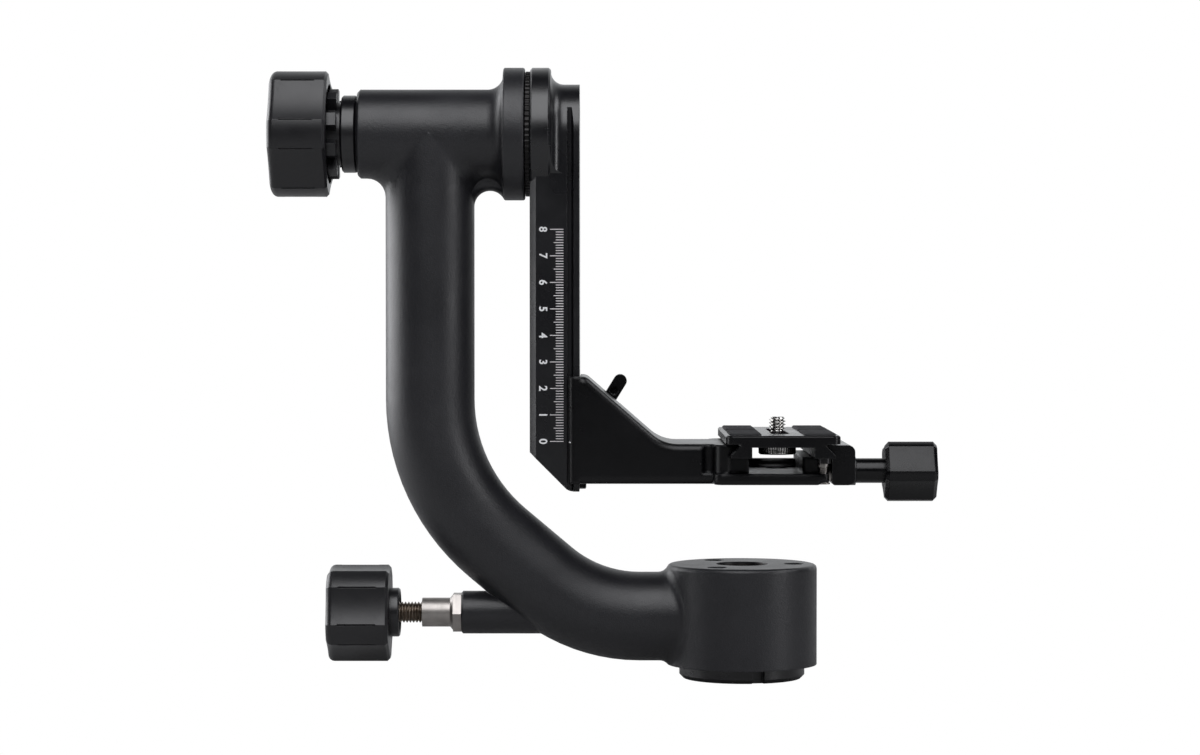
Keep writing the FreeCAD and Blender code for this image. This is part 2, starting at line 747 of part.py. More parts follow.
def swing_rail():
    top = tilt_axis_z + rail_half_width + 1
    body = prism(rail_section(), "z", rail_bottom_z, top)
    reach = rail_half_width + 1
    keep = block((rail_left_x - 1, rail_face_x + 1), (-reach, reach), (rail_bottom_z - 1, tilt_axis_z))
    keep = keep.fuse(cylinder(rail_half_width, rail_left_x - 1, rail_face_x + 1, "x", (0, tilt_axis_z)))
    body = body.common(keep.removeSplitter())
    cut_height = rail_cut_top_z - rail_bottom_z
    foot_x = rail_left_x + cut_height
    outline = [(rail_left_x - 1, rail_cut_top_z + 1), (foot_x, rail_bottom_z),
               (rail_face_x + 1, rail_bottom_z), (rail_face_x + 1, top), (rail_left_x - 1, top)]
    stem = prism(outline, "y", -reach, reach)
    foot = edges_where(stem, lambda b, e: flat_at(b.XMin, b.XMax, foot_x) and b.YLength > 1)
    body = body.common(stem.makeFillet(rail_cut_corner, foot))
    boss = cylinder(rail_boss_radius, boss_face_x, boss_face_x + rail_boss_thickness, "x",
                    (0, tilt_axis_z))
    boss = boss.makeChamfer(rail_boss_edge, edges_where(boss, lambda b, e: b.YLength > 10 and
                                                        b.XLength < 0.01))
    scoop_x = boss_face_x + rail_boss_thickness
    fillet = ring(rail_half_width - 1, rail_half_width + rail_boss_fillet, scoop_x,
                  scoop_x + rail_boss_fillet, "x", (0, tilt_axis_z))
    scoop = Part.makeTorus(rail_half_width + rail_boss_fillet, rail_boss_fillet,
                           Vector(scoop_x + rail_boss_fillet, 0, tilt_axis_z), Vector(1, 0, 0))
    upper = block((scoop_x - 1, rail_face_x), (-reach - 9, reach + 9), (tilt_axis_z, top + 9))
    crown = fillet.cut(scoop).common(upper)
    webs = []
    for side in (-1, 1):
        # Below the axis the same fillet runs straight down to the boss's rim.
        low_y, high_y = sorted((side * (rail_half_width - 1), side * (rail_half_width + rail_boss_fillet)))
        web = block((scoop_x - 1, scoop_x + rail_boss_fillet), (low_y, high_y),
                    (tilt_axis_z - rail_boss_radius, tilt_axis_z))
        web = web.cut(cylinder(rail_boss_fillet, tilt_axis_z - rail_boss_radius - 1, tilt_axis_z + 1, "z",
                               (scoop_x + rail_boss_fillet, side * (rail_half_width + rail_boss_fillet))))
        webs.append(web.common(cylinder(rail_boss_radius - rail_boss_edge, scoop_x - 1, rail_face_x, "x",
                                        (0, tilt_axis_z))))
    body = body.fuse([boss, crown] + webs).removeSplitter()
    at = (0, tilt_axis_z)
    screw_hole = countersink(rail_face_x, boss_face_x, "x", (shaft_screw_circle, tilt_axis_z), -1)
    cuts = [cylinder(shaft_flange_radius + pressed_gap, boss_face_x - 1,
                     boss_face_x + shaft_flange_thickness, "x", at),
            cylinder(shaft_radius + pressed_gap, boss_face_x,
                     boss_face_x + shaft_flange_thickness + shaft_nose_length, "x", at),
            cylinder(stop_shank_radius + pressed_gap, rail_face_x - stop_shank_length - 1,
                     rail_face_x + 1, "x", (0, stop_screw_z))]
    return body.cut(cuts + around(screw_hole, shaft_screw_count, 45, "x", (0, 0, tilt_axis_z)))


def tilt_shaft():
    at = (0, tilt_axis_z)
    step_x = tilt_collar_end_x
    flange_x = boss_face_x + shaft_flange_thickness
    parts = [cylinder(shaft_radius, step_x, boss_face_x, "x", at),
             cylinder(shaft_flange_radius, boss_face_x, flange_x, "x", at),
             cylinder(shaft_radius, flange_x, flange_x + shaft_nose_length, "x", at),
             cylinder(shaft_thread_radius, shaft_end_x, step_x, "x", at)]
    shaft = parts[0].fuse(parts[1:]).removeSplitter()
    hole = cylinder(m4_radius + pressed_gap, flange_x - shaft_screw_grip - 0.2, flange_x + 1, "x",
                    (shaft_screw_circle, tilt_axis_z))
    return shaft.cut(around(hole, shaft_screw_count, 45, "x", (0, 0, tilt_axis_z)))


def tilt_shaft_screws():
    end = boss_face_x + shaft_flange_thickness - shaft_screw_grip
    screw = countersunk(rail_face_x, end, "x", (shaft_screw_circle, tilt_axis_z), -1)
    return Part.makeCompound(around(screw, shaft_screw_count, 45, "x", (0, 0, tilt_axis_z)))


def tilt_friction_disc():
    return ring(friction_disc_bore, friction_disc_radius, boss_face_x - friction_disc_thickness,
                boss_face_x, "x", (0, tilt_axis_z))


def rail_stop_screw():
    at = (0, stop_screw_z)
    head = cylinder(stop_head_radius, rail_face_x, rail_face_x + stop_head_height, "x", at)
    outer = rail_face_x + stop_head_height
    head = head.makeFillet(stop_head_edge, edges_where(head, lambda b, e: flat_at(b.XMin, b.XMax, outer)))
    shank = cylinder(stop_shank_radius, rail_face_x - stop_shank_length, rail_face_x, "x", at)
    return head.fuse(shank).removeSplitter()


# Tilt lock

def tilt_thrust_collar():
    at = (0, tilt_axis_z)
    start = tilt_collar_end_x
    body = ring(shaft_radius + running_gap, thrust_collar_radius, start, start + thrust_collar_length,
                "x", at)
    rims = edges_where(body, lambda b, e: b.YLength > 2.5 * shaft_radius and b.XLength < 0.01)
    return body.makeChamfer(thrust_collar_edge, rims)


def tilt_knob_hub():
    at = (0, tilt_axis_z)
    start = tilt_hub_end_x
    end = start + tilt_hub_length
    body = cylinder(tilt_hub_radius, start, end, "x", at)
    lug = block((start, end - tilt_hub_lug_setback), (-tilt_hub_lug_radius, -tilt_hub_radius + 2),
                (tilt_axis_z - tilt_hub_lug_width / 2, tilt_axis_z + tilt_hub_lug_width / 2))
    lugs = around(lug, tilt_hub_lug_count, tilt_hub_lug_angle, "x", (0, 0, tilt_axis_z))
    body = body.fuse(lugs).removeSplitter()
    return body.cut(cylinder(tilt_nut_radius + pressed_gap, start - 1, end + 1, "x", at))


def tilt_knob_nut():
    at = (0, tilt_axis_z)
    start = tilt_hub_end_x + tilt_hub_length
    body = cylinder(tilt_nut_radius, start - tilt_nut_length, start, "x", at)
    return body.cut(cylinder(shaft_thread_radius + running_gap, start - tilt_nut_length - 1, start + 1,
                             "x", at))


def tilt_knob():
    at = (0, tilt_axis_z)
    knob = edged_knob(tilt_knob_radius, tilt_knob_end_x, tilt_hub_end_x, tilt_axis_z, tilt_crest_angle)
    nut_x = tilt_hub_end_x + tilt_hub_length - tilt_nut_length
    cup = ring(tilt_hub_radius, tilt_knob_cup_radius, tilt_hub_end_x - tilt_knob_cup_depth,
               tilt_hub_end_x + 1, "x", at)
    return knob.cut([cup, cylinder(tilt_nut_radius + pressed_gap, nut_x - pressed_gap, tilt_hub_end_x + 1,
                                   "x", at),
                     cylinder(shaft_thread_radius + moving_gap, shaft_end_x - 1, nut_x + 1, "x", at)])


# Lens bracket, which slides on the rail

def tongue(side, far_y):
    # The claw's tongue lies in the rail's side groove, a moving gap from each of its faces.
    inner = rail_groove_half_width + moving_gap
    tip_x = rail_groove_end_x - rail_lip_draft - moving_gap
    root_x = rail_groove_end_x - moving_gap
    points = [(claw_x, inner), (tip_x, inner), (root_x, claw_inner_y), (bracket_back_x, claw_inner_y),
              (bracket_back_x, far_y), (claw_x, far_y)]
    return [(x, side * y) for x, y in points]


def upright_outline():
    slope = radians(bracket_slope)
    crest_x = bracket_back_x + bracket_top_length
    foot_x = crest_x + (bracket_top_z - bracket_arm_z) / tan(slope)
    inner_run = bracket_inner_curve * tan(slope / 2)
    outer_run = bracket_outer_curve * tan(slope / 2)
    way = Vector(cos(slope), 0, -sin(slope))
    crest = Vector(crest_x, 0, bracket_top_z)
    foot = Vector(foot_x, 0, bracket_arm_z)
    crest_a = crest - Vector(outer_run, 0, 0)
    crest_b = crest + way * outer_run
    foot_a = foot - way * inner_run
    foot_b = foot + Vector(inner_run, 0, 0)
    crest_centre = crest_a - Vector(0, 0, bracket_outer_curve)
    foot_centre = foot_b + Vector(0, 0, bracket_inner_curve)
    half = Vector(sin(slope / 2), 0, cos(slope / 2))
    corners = [Vector(bracket_back_x, 0, bracket_top_z), Vector(bracket_back_x, 0, bracket_bottom_z),
               Vector(bed_left_x + 2, 0, bracket_bottom_z), Vector(bed_left_x + 2, 0, bracket_arm_z)]
    return Part.Wire([Part.Arc(crest_a, crest_centre + half * bracket_outer_curve, crest_b).toShape(),
                      Part.makeLine(crest_b, foot_a),
                      Part.Arc(foot_a, foot_centre - half * bracket_inner_curve, foot_b).toShape(),
                      Part.makeLine(foot_b, corners[3]),
                      Part.makeLine(corners[3], corners[2]),
                      Part.makeLine(corners[2], corners[1]),
                      Part.makeLine(corners[1], corners[0]),
                      Part.makeLine(corners[0], crest_a)])


def upright():
    face = Part.Face(upright_outline())
    face.translate(Vector(0, -bracket_half_width, 0))
    body = face.extrude(Vector(0, 2 * bracket_half_width, 0))

    def on_the_outline(box, edge):
        on_side = flat_at(box.YMin, box.YMax, -bracket_half_width) or flat_at(box.YMin, box.YMax,
                                                                             bracket_half_width)
        ends = box.XMax < bracket_back_x + 0.1 or box.XMin > bed_left_x + 1
        return on_side and not ends

    body = body.makeFillet(bracket_edge, edges_where(body, on_the_outline))
    claw = prism(tongue(-1, bracket_half_width), "z", bracket_bottom_z, bracket_top_z)
    claw = claw.makeFillet(claw_edge, edges_where(claw, lambda b, e: b.ZLength > bracket_height / 2 and
                                                   flat_at(b.XMin, b.XMax, claw_x) and
                                                   flat_at(b.YMin, b.YMax, -bracket_half_width)))
    recess = block((bracket_back_x - 1, rear_claw_right_x + moving_gap),
                   (rail_half_width - 0.1, bracket_half_width + 1),
                   (bracket_bottom_z - 1, bracket_top_z + 1))
    return body.cut(recess).fuse(claw).removeSplitter()


def jaw_section(side, far_x, bottom_z):
    # The plate's foot is held under a sloping lip, a moving gap away from it.
    neck = plate_neck_half_width + moving_gap * 1.5
    foot = plate_foot_half_width + moving_gap
    slope_top = plate_bottom_z + plate_foot_height + plate_foot_half_width - plate_neck_half_width
    lip_z = min(jaw_top_z, slope_top)
    foot_z = lip_z - (foot - neck)
    points = [(far_x, jaw_top_z), (plate_x + side * neck, jaw_top_z), (plate_x + side * neck, lip_z),
              (plate_x + side * foot, foot_z), (plate_x + side * foot, bed_ledge_z)]
    return points + [(plate_x + side * foot, bottom_z), (far_x, bottom_z)]


def clamp_bed():
    slab = block((bed_left_x, bed_right_x), (-bed_half_length, bed_half_length),
                 (bracket_bottom_z, bed_slab_top_z))
    slab = slab.makeFillet(bed_corner, edges_where(slab, lambda b, e: b.ZLength > 1 and
                                                   flat_at(b.XMin, b.XMax, bed_left_x)))
    slab = slab.makeFillet(bed_front_corner, edges_where(slab, lambda b, e: b.ZLength > 1 and
                                                         flat_at(b.XMin, b.XMax, bed_right_x)))
    slab = slab.makeFillet(1.0, edges_where(slab, lambda b, e: flat_at(b.ZMin, b.ZMax, bracket_bottom_z)))
    front = -bed_half_length + 1.0
    jaw = prism(jaw_section(-1, bed_left_x, bracket_bottom_z + 1), "y", front, bed_half_length)
    corners = edges_where(jaw, lambda b, e: b.ZLength > 10 and flat_at(b.XMin, b.XMax, bed_left_x))
    jaw = jaw.makeFillet(fixed_jaw_corner, corners)
    left_ledge = block((bed_left_x + 4, bed_channel_left_x), (-bed_half_length + bed_setback,
                                                             bed_half_length),
                       (bed_slab_top_z - 1, bed_ledge_z))
    right_ledge = block((bed_channel_right_x, bed_right_x), (-bed_half_length + bed_setback,
                                                            bed_half_length),
                        (bed_slab_top_z - 1, bed_ledge_z))
    right_ledge = right_ledge.makeFillet(2.0, edges_where(right_ledge, lambda b, e: b.ZLength > 1 and
                                                          flat_at(b.YMin, b.YMax,
                                                                  -bed_half_length + bed_setback)))
    bridge = block((bed_channel_left_x - 1, bed_channel_right_x + 1),
                   (bed_half_length - bed_bridge_width, bed_half_length),
                   (bed_slab_top_z - 1, bed_slab_top_z + bed_bridge_height))
    bed = slab.fuse([jaw, left_ledge, right_ledge, bridge]).removeSplitter()
    recess = cylinder(bed_recess_radius, bed_slab_top_z - bed_recess_depth, bed_slab_top_z + 1, "z",
                      (bed_recess_x, bed_recess_y))
    return bed.cut(recess)


def lens_bracket():
    body = upright().fuse(clamp_bed())
    scallop_y = bracket_half_width + neck_scallop_radius - neck_scallop_depth
    cuts = [cylinder(neck_scallop_radius, bed_slab_top_z, bracket_top_z, "z",
                     (neck_scallop_x, side * scallop_y)) for side in (-1, 1)]
    relief = stop_head_radius + moving_gap
    relief_end = bracket_back_x + stop_head_height + moving_gap
    cuts.append(block((bracket_back_x - 1, relief_end), (-relief, relief),
                      (bracket_bottom_z - 1, stop_screw_z)))
    cuts.append(cylinder(relief, bracket_back_x - 1, relief_end, "x", (0, stop_screw_z)))
    cuts.append(cylinder(lever_screw_radius + running_gap, rail_half_width - lever_screw_reach - 1,
                         bracket_half_width + 1, "y", (lever_x, lever_z)))
    for side in (-1, 1):
        cuts.append(cylinder(claw_pin_radius + running_gap, rail_half_width - claw_pin_reach - 1,
                             bracket_half_width + 1, "y", (claw_pin_x, lever_z + side * claw_pin_spread)))
        cuts.append(cylinder(guide_pin_radius + pressed_gap, bed_right_x - guide_pin_grip - 0.1,
                             bed_right_x + 1, "x", (side * guide_pin_spread, clamp_axis_z)))
    cuts.append(cylinder(clamp_screw_radius + pressed_gap, bed_right_x - clamp_screw_grip - 0.1,
                         bed_right_x + 1, "x", (0, clamp_axis_z)))
    pin_at = (stop_pin_x, stop_pin_y)
    cuts.append(cylinder(stop_pin_radius + running_gap, bracket_bottom_z - 1, bed_slab_top_z + 1, "z",
                         pin_at))
    cuts.append(cylinder(stop_pin_clip_radius + moving_gap, bracket_bottom_z - 1,
                         bracket_bottom_z + stop_pin_clip_height + 2 * moving_gap, "z", pin_at))
    return body.cut(cuts).removeSplitter()


def rear_claw():
    body = prism(tongue(1, rear_claw_y), "z", rear_claw_bottom_z, rear_claw_bottom_z + rear_claw_height)
    wing = block((bracket_back_x - 0.5, rear_claw_right_x), (claw_inner_y, rear_claw_y),
                 (rear_claw_bottom_z, rear_claw_bottom_z + rear_claw_height))
    wing = wing.makeFillet(rear_claw_corner, edges_where(wing, lambda b, e: b.YLength > 1 and
                                                         flat_at(b.XMin, b.XMax, rear_claw_right_x)))
    cuts = [cylinder(lever_screw_radius + running_gap, claw_inner_y - 1, rear_claw_y + 1, "y",
                     (lever_x, lever_z))]
    for side in (-1, 1):
        cuts.append(cylinder(claw_pin_radius + pressed_gap, claw_inner_y - 1, rear_claw_y + 1, "y",
                             (claw_pin_x, lever_z + side * claw_pin_spread)))
    # The upper corner follows the bracket's slope, a little below it.
    slope = tan(radians(bracket_slope))
    crest_x = bracket_back_x + bracket_top_length
    crest_z = bracket_top_z - rear_claw_slope_drop
    end_x = rear_claw_right_x + 1
    cuts.append(prism([(crest_x, crest_z), (end_x, crest_z - (end_x - crest_x) * slope),
                       (end_x, crest_z + 1), (crest_x, crest_z + 1)], "y",
                      claw_inner_y - 1, rear_claw_y + 1))
    return body.fuse(wing).removeSplitter().cut(cuts)


def claw_guide_pins():
    pins = [cylinder(claw_pin_radius, rail_half_width - claw_pin_reach, rear_claw_y - 0.4, "y",
                     (claw_pin_x, lever_z + side * claw_pin_spread)) for side in (-1, 1)]
    return Part.makeCompound(pins)


def clamp_lever():
    low = rear_claw_y + moving_gap
    hub = cylinder(lever_hub_radius, low, low + lever_hub_length, "y", (lever_x, lever_z))
    start = low + lever_hub_length - lever_arm_thickness - 0.8
    half = lever_arm_width / 2
    arm = block((lever_x, lever_x + lever_arm_length), (start, start + lever_arm_thickness),
                (lever_z - half, lever_z + half))
    tip = cylinder(half, start, start + lever_arm_thickness, "y", (lever_x + lever_arm_length, lever_z))
    dimple = cylinder(lever_dimple_radius, start - 1, start + lever_dimple_depth, "y",
                      (lever_x + lever_dimple_place, lever_z))
    arm = turned(arm.fuse(tip).removeSplitter().cut(dimple), -lever_arm_angle, "y", (lever_x, 0, lever_z))
    lever = hub.fuse(arm).removeSplitter()
    return lever.cut(cylinder(lever_screw_radius + pressed_gap, low - 1, low + lever_hub_length + 1, "y",
                              (lever_x, lever_z)))


def lever_screw():
    top = rear_claw_y + moving_gap + lever_hub_length
    shank = cylinder(lever_screw_radius, rail_half_width - lever_screw_reach, top, "y", (lever_x, lever_z))
    cap = cylinder(lever_cap_radius, top, top + lever_cap_height, "y", (lever_x, lever_z))
    cap = cap.makeFillet(0.6, edges_where(cap, lambda b, e: flat_at(b.YMin, b.YMax, top + lever_cap_height)))
    return shank.fuse(cap).removeSplitter()


# Plate clamp

def clamp_jaw():
    body = prism(jaw_section(1, jaw_end_x, bracket_bottom_z), "y", -bed_half_length, bed_half_length)
    bed_side = block((jaw_x - 10, jaw_x), (-bed_half_length - 1, bed_half_length + 1),
                     (bracket_bottom_z - 1, bed_ledge_z + moving_gap))
    body = body.fuse(block((jaw_x, plate_x + plate_foot_half_width + moving_gap + 1),
                           (-bed_half_length, bed_half_length),
                           (bracket_bottom_z, bed_ledge_z))).cut(bed_side).removeSplitter()
    rims = edges_where(body, lambda b, e: b.YLength > 50 and flat_at(b.XMin, b.XMax, jaw_end_x))
    body = body.makeFillet(jaw_corner, rims)
    low = edges_where(body, lambda b, e: b.YLength > 50 and flat_at(b.ZMin, b.ZMax, bracket_bottom_z) and
                      flat_at(b.XMin, b.XMax, jaw_x))
    body = body.makeFillet(jaw_low_corner, low)
    cuts = [cylinder(clamp_screw_radius + moving_gap, jaw_x - 1, jaw_end_x + 1, "x", (0, clamp_axis_z))]
    for side in (-1, 1):
        at = (side * guide_pin_spread, clamp_axis_z)
        cuts.append(cylinder(guide_pin_radius + running_gap, jaw_x - 1, jaw_end_x + 1, "x", at))
        pocket = guide_pin_radius + running_gap + spring_wall + 2 * spring_gap
        cuts.append(cylinder(pocket, jaw_x - 1, jaw_x + spring_pocket_depth, "x", at))
    return body.cut(cuts)


def clamp_screw():
    return cylinder(clamp_screw_radius, bed_right_x - clamp_screw_grip, clamp_screw_end_x, "x",
                    (0, clamp_axis_z))


def jaw_guide_pins():
    start = bed_right_x - guide_pin_grip
    return Part.makeCompound([cylinder(guide_pin_radius, start, start + guide_pin_length, "x",
                                       (side * guide_pin_spread, clamp_axis_z)) for side in (-1, 1)])


def jaw_springs():
    inner = guide_pin_radius + running_gap + spring_gap
    return Part.makeCompound([ring(inner, inner + spring_wall, bed_right_x, jaw_x + spring_pocket_depth, "x",
                                   (side * guide_pin_spread, clamp_axis_z)) for side in (-1, 1)])


def clamp_washer():
    return ring(clamp_screw_radius + moving_gap, clamp_washer_radius, jaw_end_x,
                jaw_end_x + clamp_washer_thickness, "x", (0, clamp_axis_z))


def clamp_knob_sleeve():
    at = (0, clamp_axis_z)
    start = jaw_end_x + clamp_washer_thickness + 0.1
    return ring(clamp_screw_radius + running_gap, clamp_sleeve_radius, start, clamp_sleeve_end_x, "x", at)


def clamp_knob():
    at = (0, clamp_axis_z)
    end = clamp_knob_x + clamp_knob_length
    knob = lobed_knob(clamp_knob_radius, clamp_knob_x, end, clamp_axis_z, clamp_crest_angle,
                      clamp_valley_angle, clamp_valley_share)
    rims = edges_where(knob, lambda b, e: b.XLength < 0.01)
    knob = knob.makeChamfer(clamp_knob_edge, rims)
    return knob.cut([cylinder(clamp_sleeve_radius + pressed_gap, clamp_knob_x - 1,
                              clamp_sleeve_end_x + pressed_gap, "x", at)])


def plate_stop_pin():
    at = (stop_pin_x, stop_pin_y)
    clip_z = bracket_bottom_z + moving_gap
    parts = [cylinder(stop_pin_radius, clip_z, stop_pin_top_z - stop_pin_head_height, "z", at),
             cylinder(stop_pin_head_radius, stop_pin_top_z - stop_pin_head_height, stop_pin_top_z, "z", at),
             cylinder(stop_pin_clip_radius, clip_z, clip_z + stop_pin_clip_height, "z", at)]
    pin = parts[0].fuse(parts[1:]).removeSplitter()
    middle = stop_pin_top_z - stop_pin_head_height / 2
    return pin.cut(ring(stop_pin_head_radius - 0.3, stop_pin_head_radius + 1, middle - 0.2, middle + 0.2,
                        "z", at))


def stop_pin_spring():
    inner = stop_pin_radius + 0.1
    return ring(inner, inner + stop_pin_spring_wall, bed_slab_top_z, stop_pin_top_z - stop_pin_head_height,
                "z", (stop_pin_x, stop_pin_y))


# Camera plate

def plate_section():
    slope_z = plate_bottom_z + plate_foot_height
    neck_z_low = slope_z + plate_foot_half_width - plate_neck_half_width
    web_z = plate_top_z - plate_web
    half = [(plate_half_width, plate_top_z), (plate_half_width, plate_top_z - plate_lip),
            (plate_neck_half_width, plate_top_z - plate_lip), (plate_neck_half_width, neck_z_low),
            (plate_foot_half_width, slope_z), (plate_foot_half_width, plate_bottom_z),
            (plate_channel_half_width, plate_bottom_z), (plate_channel_half_width, web_z)]
    right = [(plate_x + x, z) for x, z in half]
    return right + [(plate_x - x, z) for x, z in reversed(half)]


def pad_place(side_x, side_y):
    low_x = plate_x + side_x * (pad_inner_x + pad_width / 2) - pad_width / 2
    low_y = side_y * (pad_inner_y + pad_strip_length / 2) - pad_strip_length / 2
    return (low_x, low_x + pad_width), (low_y, low_y + pad_strip_length)


def quick_release_plate():
    body = prism(plate_section(), "y", -plate_half_length, plate_half_length)
    corners = edges_where(body, lambda b, e: b.ZLength > plate_lip - 0.1 and b.YLength < 0.01 and
                          abs(abs(b.XMin - plate_x) - plate_half_width) < 0.01)
    body = body.makeFillet(plate_corner, corners)
    body = body.makeChamfer(plate_edge, edges_where(body, lambda b, e: flat_at(b.ZMin, b.ZMax, plate_top_z)))
    cuts = [slot(slot_half_width, -slot_half_length, slot_half_length, plate_x,
                 (plate_bottom_z, plate_top_z + 1))]
    for side_x in (-1, 1):
        for side_y in (-1, 1):
            x_range, y_range = pad_place(side_x, side_y)
            grown_x = (x_range[0] - pressed_gap, x_range[1] + pressed_gap)
            grown_y = (y_range[0] - pressed_gap, y_range[1] + pressed_gap)
            cuts.append(block(grown_x, grown_y, (plate_top_z - pad_seat, plate_top_z + 1)))
    for side in (-1, 1):
        cuts.append(cylinder(plate_stop_shank_radius + pressed_gap, plate_bottom_z - 1,
                             plate_bottom_z + plate_stop_shank_length + pressed_gap, "z",
                             (plate_x + plate_stop_x, side * plate_stop_y)))
    return body.cut(cuts)


def plate_pads():
    pads = []
    for side_x in (-1, 1):
        for side_y in (-1, 1):
            x_range, y_range = pad_place(side_x, side_y)
            pad = block(x_range, y_range, (plate_top_z - pad_seat, plate_top_z + pad_rise))
            top = edges_where(pad, lambda b, e: flat_at(b.ZMin, b.ZMax, plate_top_z + pad_rise))
            pads.append(pad.makeChamfer(0.3, top))
    return Part.makeCompound(pads)


def plate_stop_screws():
    screws = []
    for side in (-1, 1):
        at = (plate_x + plate_stop_x, side * plate_stop_y)
        head = cylinder(plate_stop_head_radius, plate_bottom_z - plate_stop_head_height, plate_bottom_z,
                        "z", at)
        shank = cylinder(plate_stop_shank_radius, plate_bottom_z, plate_bottom_z + plate_stop_shank_length,
                         "z", at)
        screws.append(head.fuse(shank).removeSplitter())
    return Part.makeCompound(screws)


def camera_screw_washer():
    at = (plate_x, 0)
    return ring(camera_neck_radius + running_gap, camera_washer_radius,
                camera_washer_top_z - camera_washer_thickness, camera_washer_top_z, "z", at)


def camera_screw():
    at = (plate_x, 0)
    thread = cylinder(quarter_thread_radius, plate_top_z, plate_top_z + camera_screw_rise, "z", at)
    neck = cylinder(camera_neck_radius, camera_head_top_z, plate_top_z, "z", at)
    head = cylinder(camera_head_radius, camera_head_top_z - camera_head_height, camera_head_top_z, "z", at)
    bottom = camera_head_top_z - camera_head_height
    head = head.makeChamfer(0.5, edges_where(head, lambda b, e: flat_at(b.ZMin, b.ZMax, bottom)))
    coin = block((plate_x - camera_head_radius, plate_x + camera_head_radius),
                 (-camera_head_slot / 2, camera_head_slot / 2), (bottom - 1, bottom + 1.6))
    return head.cut(coin).fuse([neck, thread]).removeSplitter()


lower_balls_circle = ball_circle(lower_seat_radius, lower_bearing_radius)
upper_balls_circle = ball_circle(upper_seat_radius, upper_bearing_radius)

nodes = {
    "base_disc": base_disc(),
    "tripod_thread_insert": tripod_thread_insert(),
    "pan_spindle": pan_spindle(),
    "spindle_screws": spindle_screws(),
    "lower_bearing_inner_ring": bearing_ring(lower_seat_radius, lower_seat_radius + ring_thickness,
                                             lower_bearing_z, lower_balls_circle),
    "upper_bearing_inner_ring": bearing_ring(upper_seat_radius, upper_seat_radius + ring_thickness,
                                             upper_bearing_z, upper_balls_circle),
    "bearing_washer": bearing_washer(),
    "pan_retaining_nut": pan_retaining_nut(),
    "swing_arm": swing_arm(),
    "tilt_flange": tilt_flange(),
    "bearing_carrier": bearing_carrier(),
    "carrier_cap_screws": carrier_cap_screws(),
    "lower_bearing_outer_ring": bearing_ring(lower_bearing_radius - ring_thickness, lower_bearing_radius,
                                             lower_bearing_z, lower_balls_circle),
    "upper_bearing_outer_ring": bearing_ring(upper_bearing_radius - ring_thickness, upper_bearing_radius,
                                             upper_bearing_z, upper_balls_circle),
    "lower_bearing_balls": bearing_balls(lower_balls_circle, lower_ball_count, lower_bearing_z),
    "upper_bearing_balls": bearing_balls(upper_balls_circle, upper_ball_count, upper_bearing_z),
    "pan_guide_sleeve": pan_guide_sleeve(),
    "left_tilt_bush": tilt_bush(head_tube_left_x + 0.2, head_tube_left_x + bush_length),
    "right_tilt_bush": tilt_bush(flange_face_x - bush_length, flange_face_x - 0.2),
    "pan_brake_pad": pan_brake_pad(),
    "pan_lock_screw": pan_lock_screw(),
    "pan_knob": pan_knob(),
    "pan_knob_collar": pan_knob_collar(),
    "swing_rail": swing_rail(),
    "tilt_shaft": tilt_shaft(),
    "tilt_shaft_screws": tilt_shaft_screws(),
    "tilt_friction_disc": tilt_friction_disc(),
    "rail_stop_screw": rail_stop_screw(),
    "tilt_thrust_collar": tilt_thrust_collar(),
    "tilt_knob_hub": tilt_knob_hub(),
    "tilt_knob_nut": tilt_knob_nut(),
    "tilt_knob": tilt_knob(),
    "lens_bracket": lens_bracket(),
    "rear_claw": rear_claw(),
    "claw_guide_pins": claw_guide_pins(),
    "clamp_lever": clamp_lever(),
    "lever_screw": lever_screw(),
    "clamp_jaw": clamp_jaw(),
    "clamp_screw": clamp_screw(),
    "jaw_guide_pins": jaw_guide_pins(),
    "jaw_springs": jaw_springs(),
    "clamp_washer": clamp_washer(),
    "clamp_knob_sleeve": clamp_knob_sleeve(),
    "clamp_knob": clamp_knob(),
    "plate_stop_pin": plate_stop_pin(),
    "stop_pin_spring": stop_pin_spring(),
    "quick_release_plate": quick_release_plate(),
    "plate_pads": plate_pads(),
    "plate_stop_screws": plate_stop_screws(),
    "camera_screw_washer": camera_screw_washer(),
    "camera_screw": camera_screw(),
}

os.makedirs("parts", exist_ok=True)
for name, shape in nodes.items():
    solid = whole(shape)
    solid.exportStep("parts/" + name + ".step")
    box = solid.BoundBox
    print(name, len(solid.Solids), "valid" if solid.isValid() else "INVALID", round(solid.Volume, 1),
          [round(v, 1) for v in (box.XMin, box.XMax, box.YMin, box.YMax, box.ZMin, box.ZMax)])
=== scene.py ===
import json
from math import radians, tau
import bpy
import numpy as np
from mathutils import Matrix


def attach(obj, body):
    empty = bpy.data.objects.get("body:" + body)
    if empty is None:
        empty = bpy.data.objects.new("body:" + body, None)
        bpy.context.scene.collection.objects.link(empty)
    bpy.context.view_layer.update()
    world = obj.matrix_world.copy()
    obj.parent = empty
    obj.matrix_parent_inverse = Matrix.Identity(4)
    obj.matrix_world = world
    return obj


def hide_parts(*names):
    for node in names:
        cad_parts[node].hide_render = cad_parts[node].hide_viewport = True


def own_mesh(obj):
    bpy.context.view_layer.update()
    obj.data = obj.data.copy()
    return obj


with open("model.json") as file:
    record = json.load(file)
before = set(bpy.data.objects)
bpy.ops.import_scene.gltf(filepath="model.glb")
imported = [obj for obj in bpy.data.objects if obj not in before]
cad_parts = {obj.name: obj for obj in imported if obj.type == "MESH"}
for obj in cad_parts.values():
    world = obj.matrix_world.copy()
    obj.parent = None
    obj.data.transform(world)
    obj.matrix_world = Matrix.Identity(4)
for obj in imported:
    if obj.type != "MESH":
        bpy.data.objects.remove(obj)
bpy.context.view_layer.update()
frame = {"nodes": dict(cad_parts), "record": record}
nodes = frame["nodes"]
mm = 0.001
print("frame loaded", len(nodes), "nodes")

# In the dictionaries below, which hold what a user would change, lengths are in millimetres.

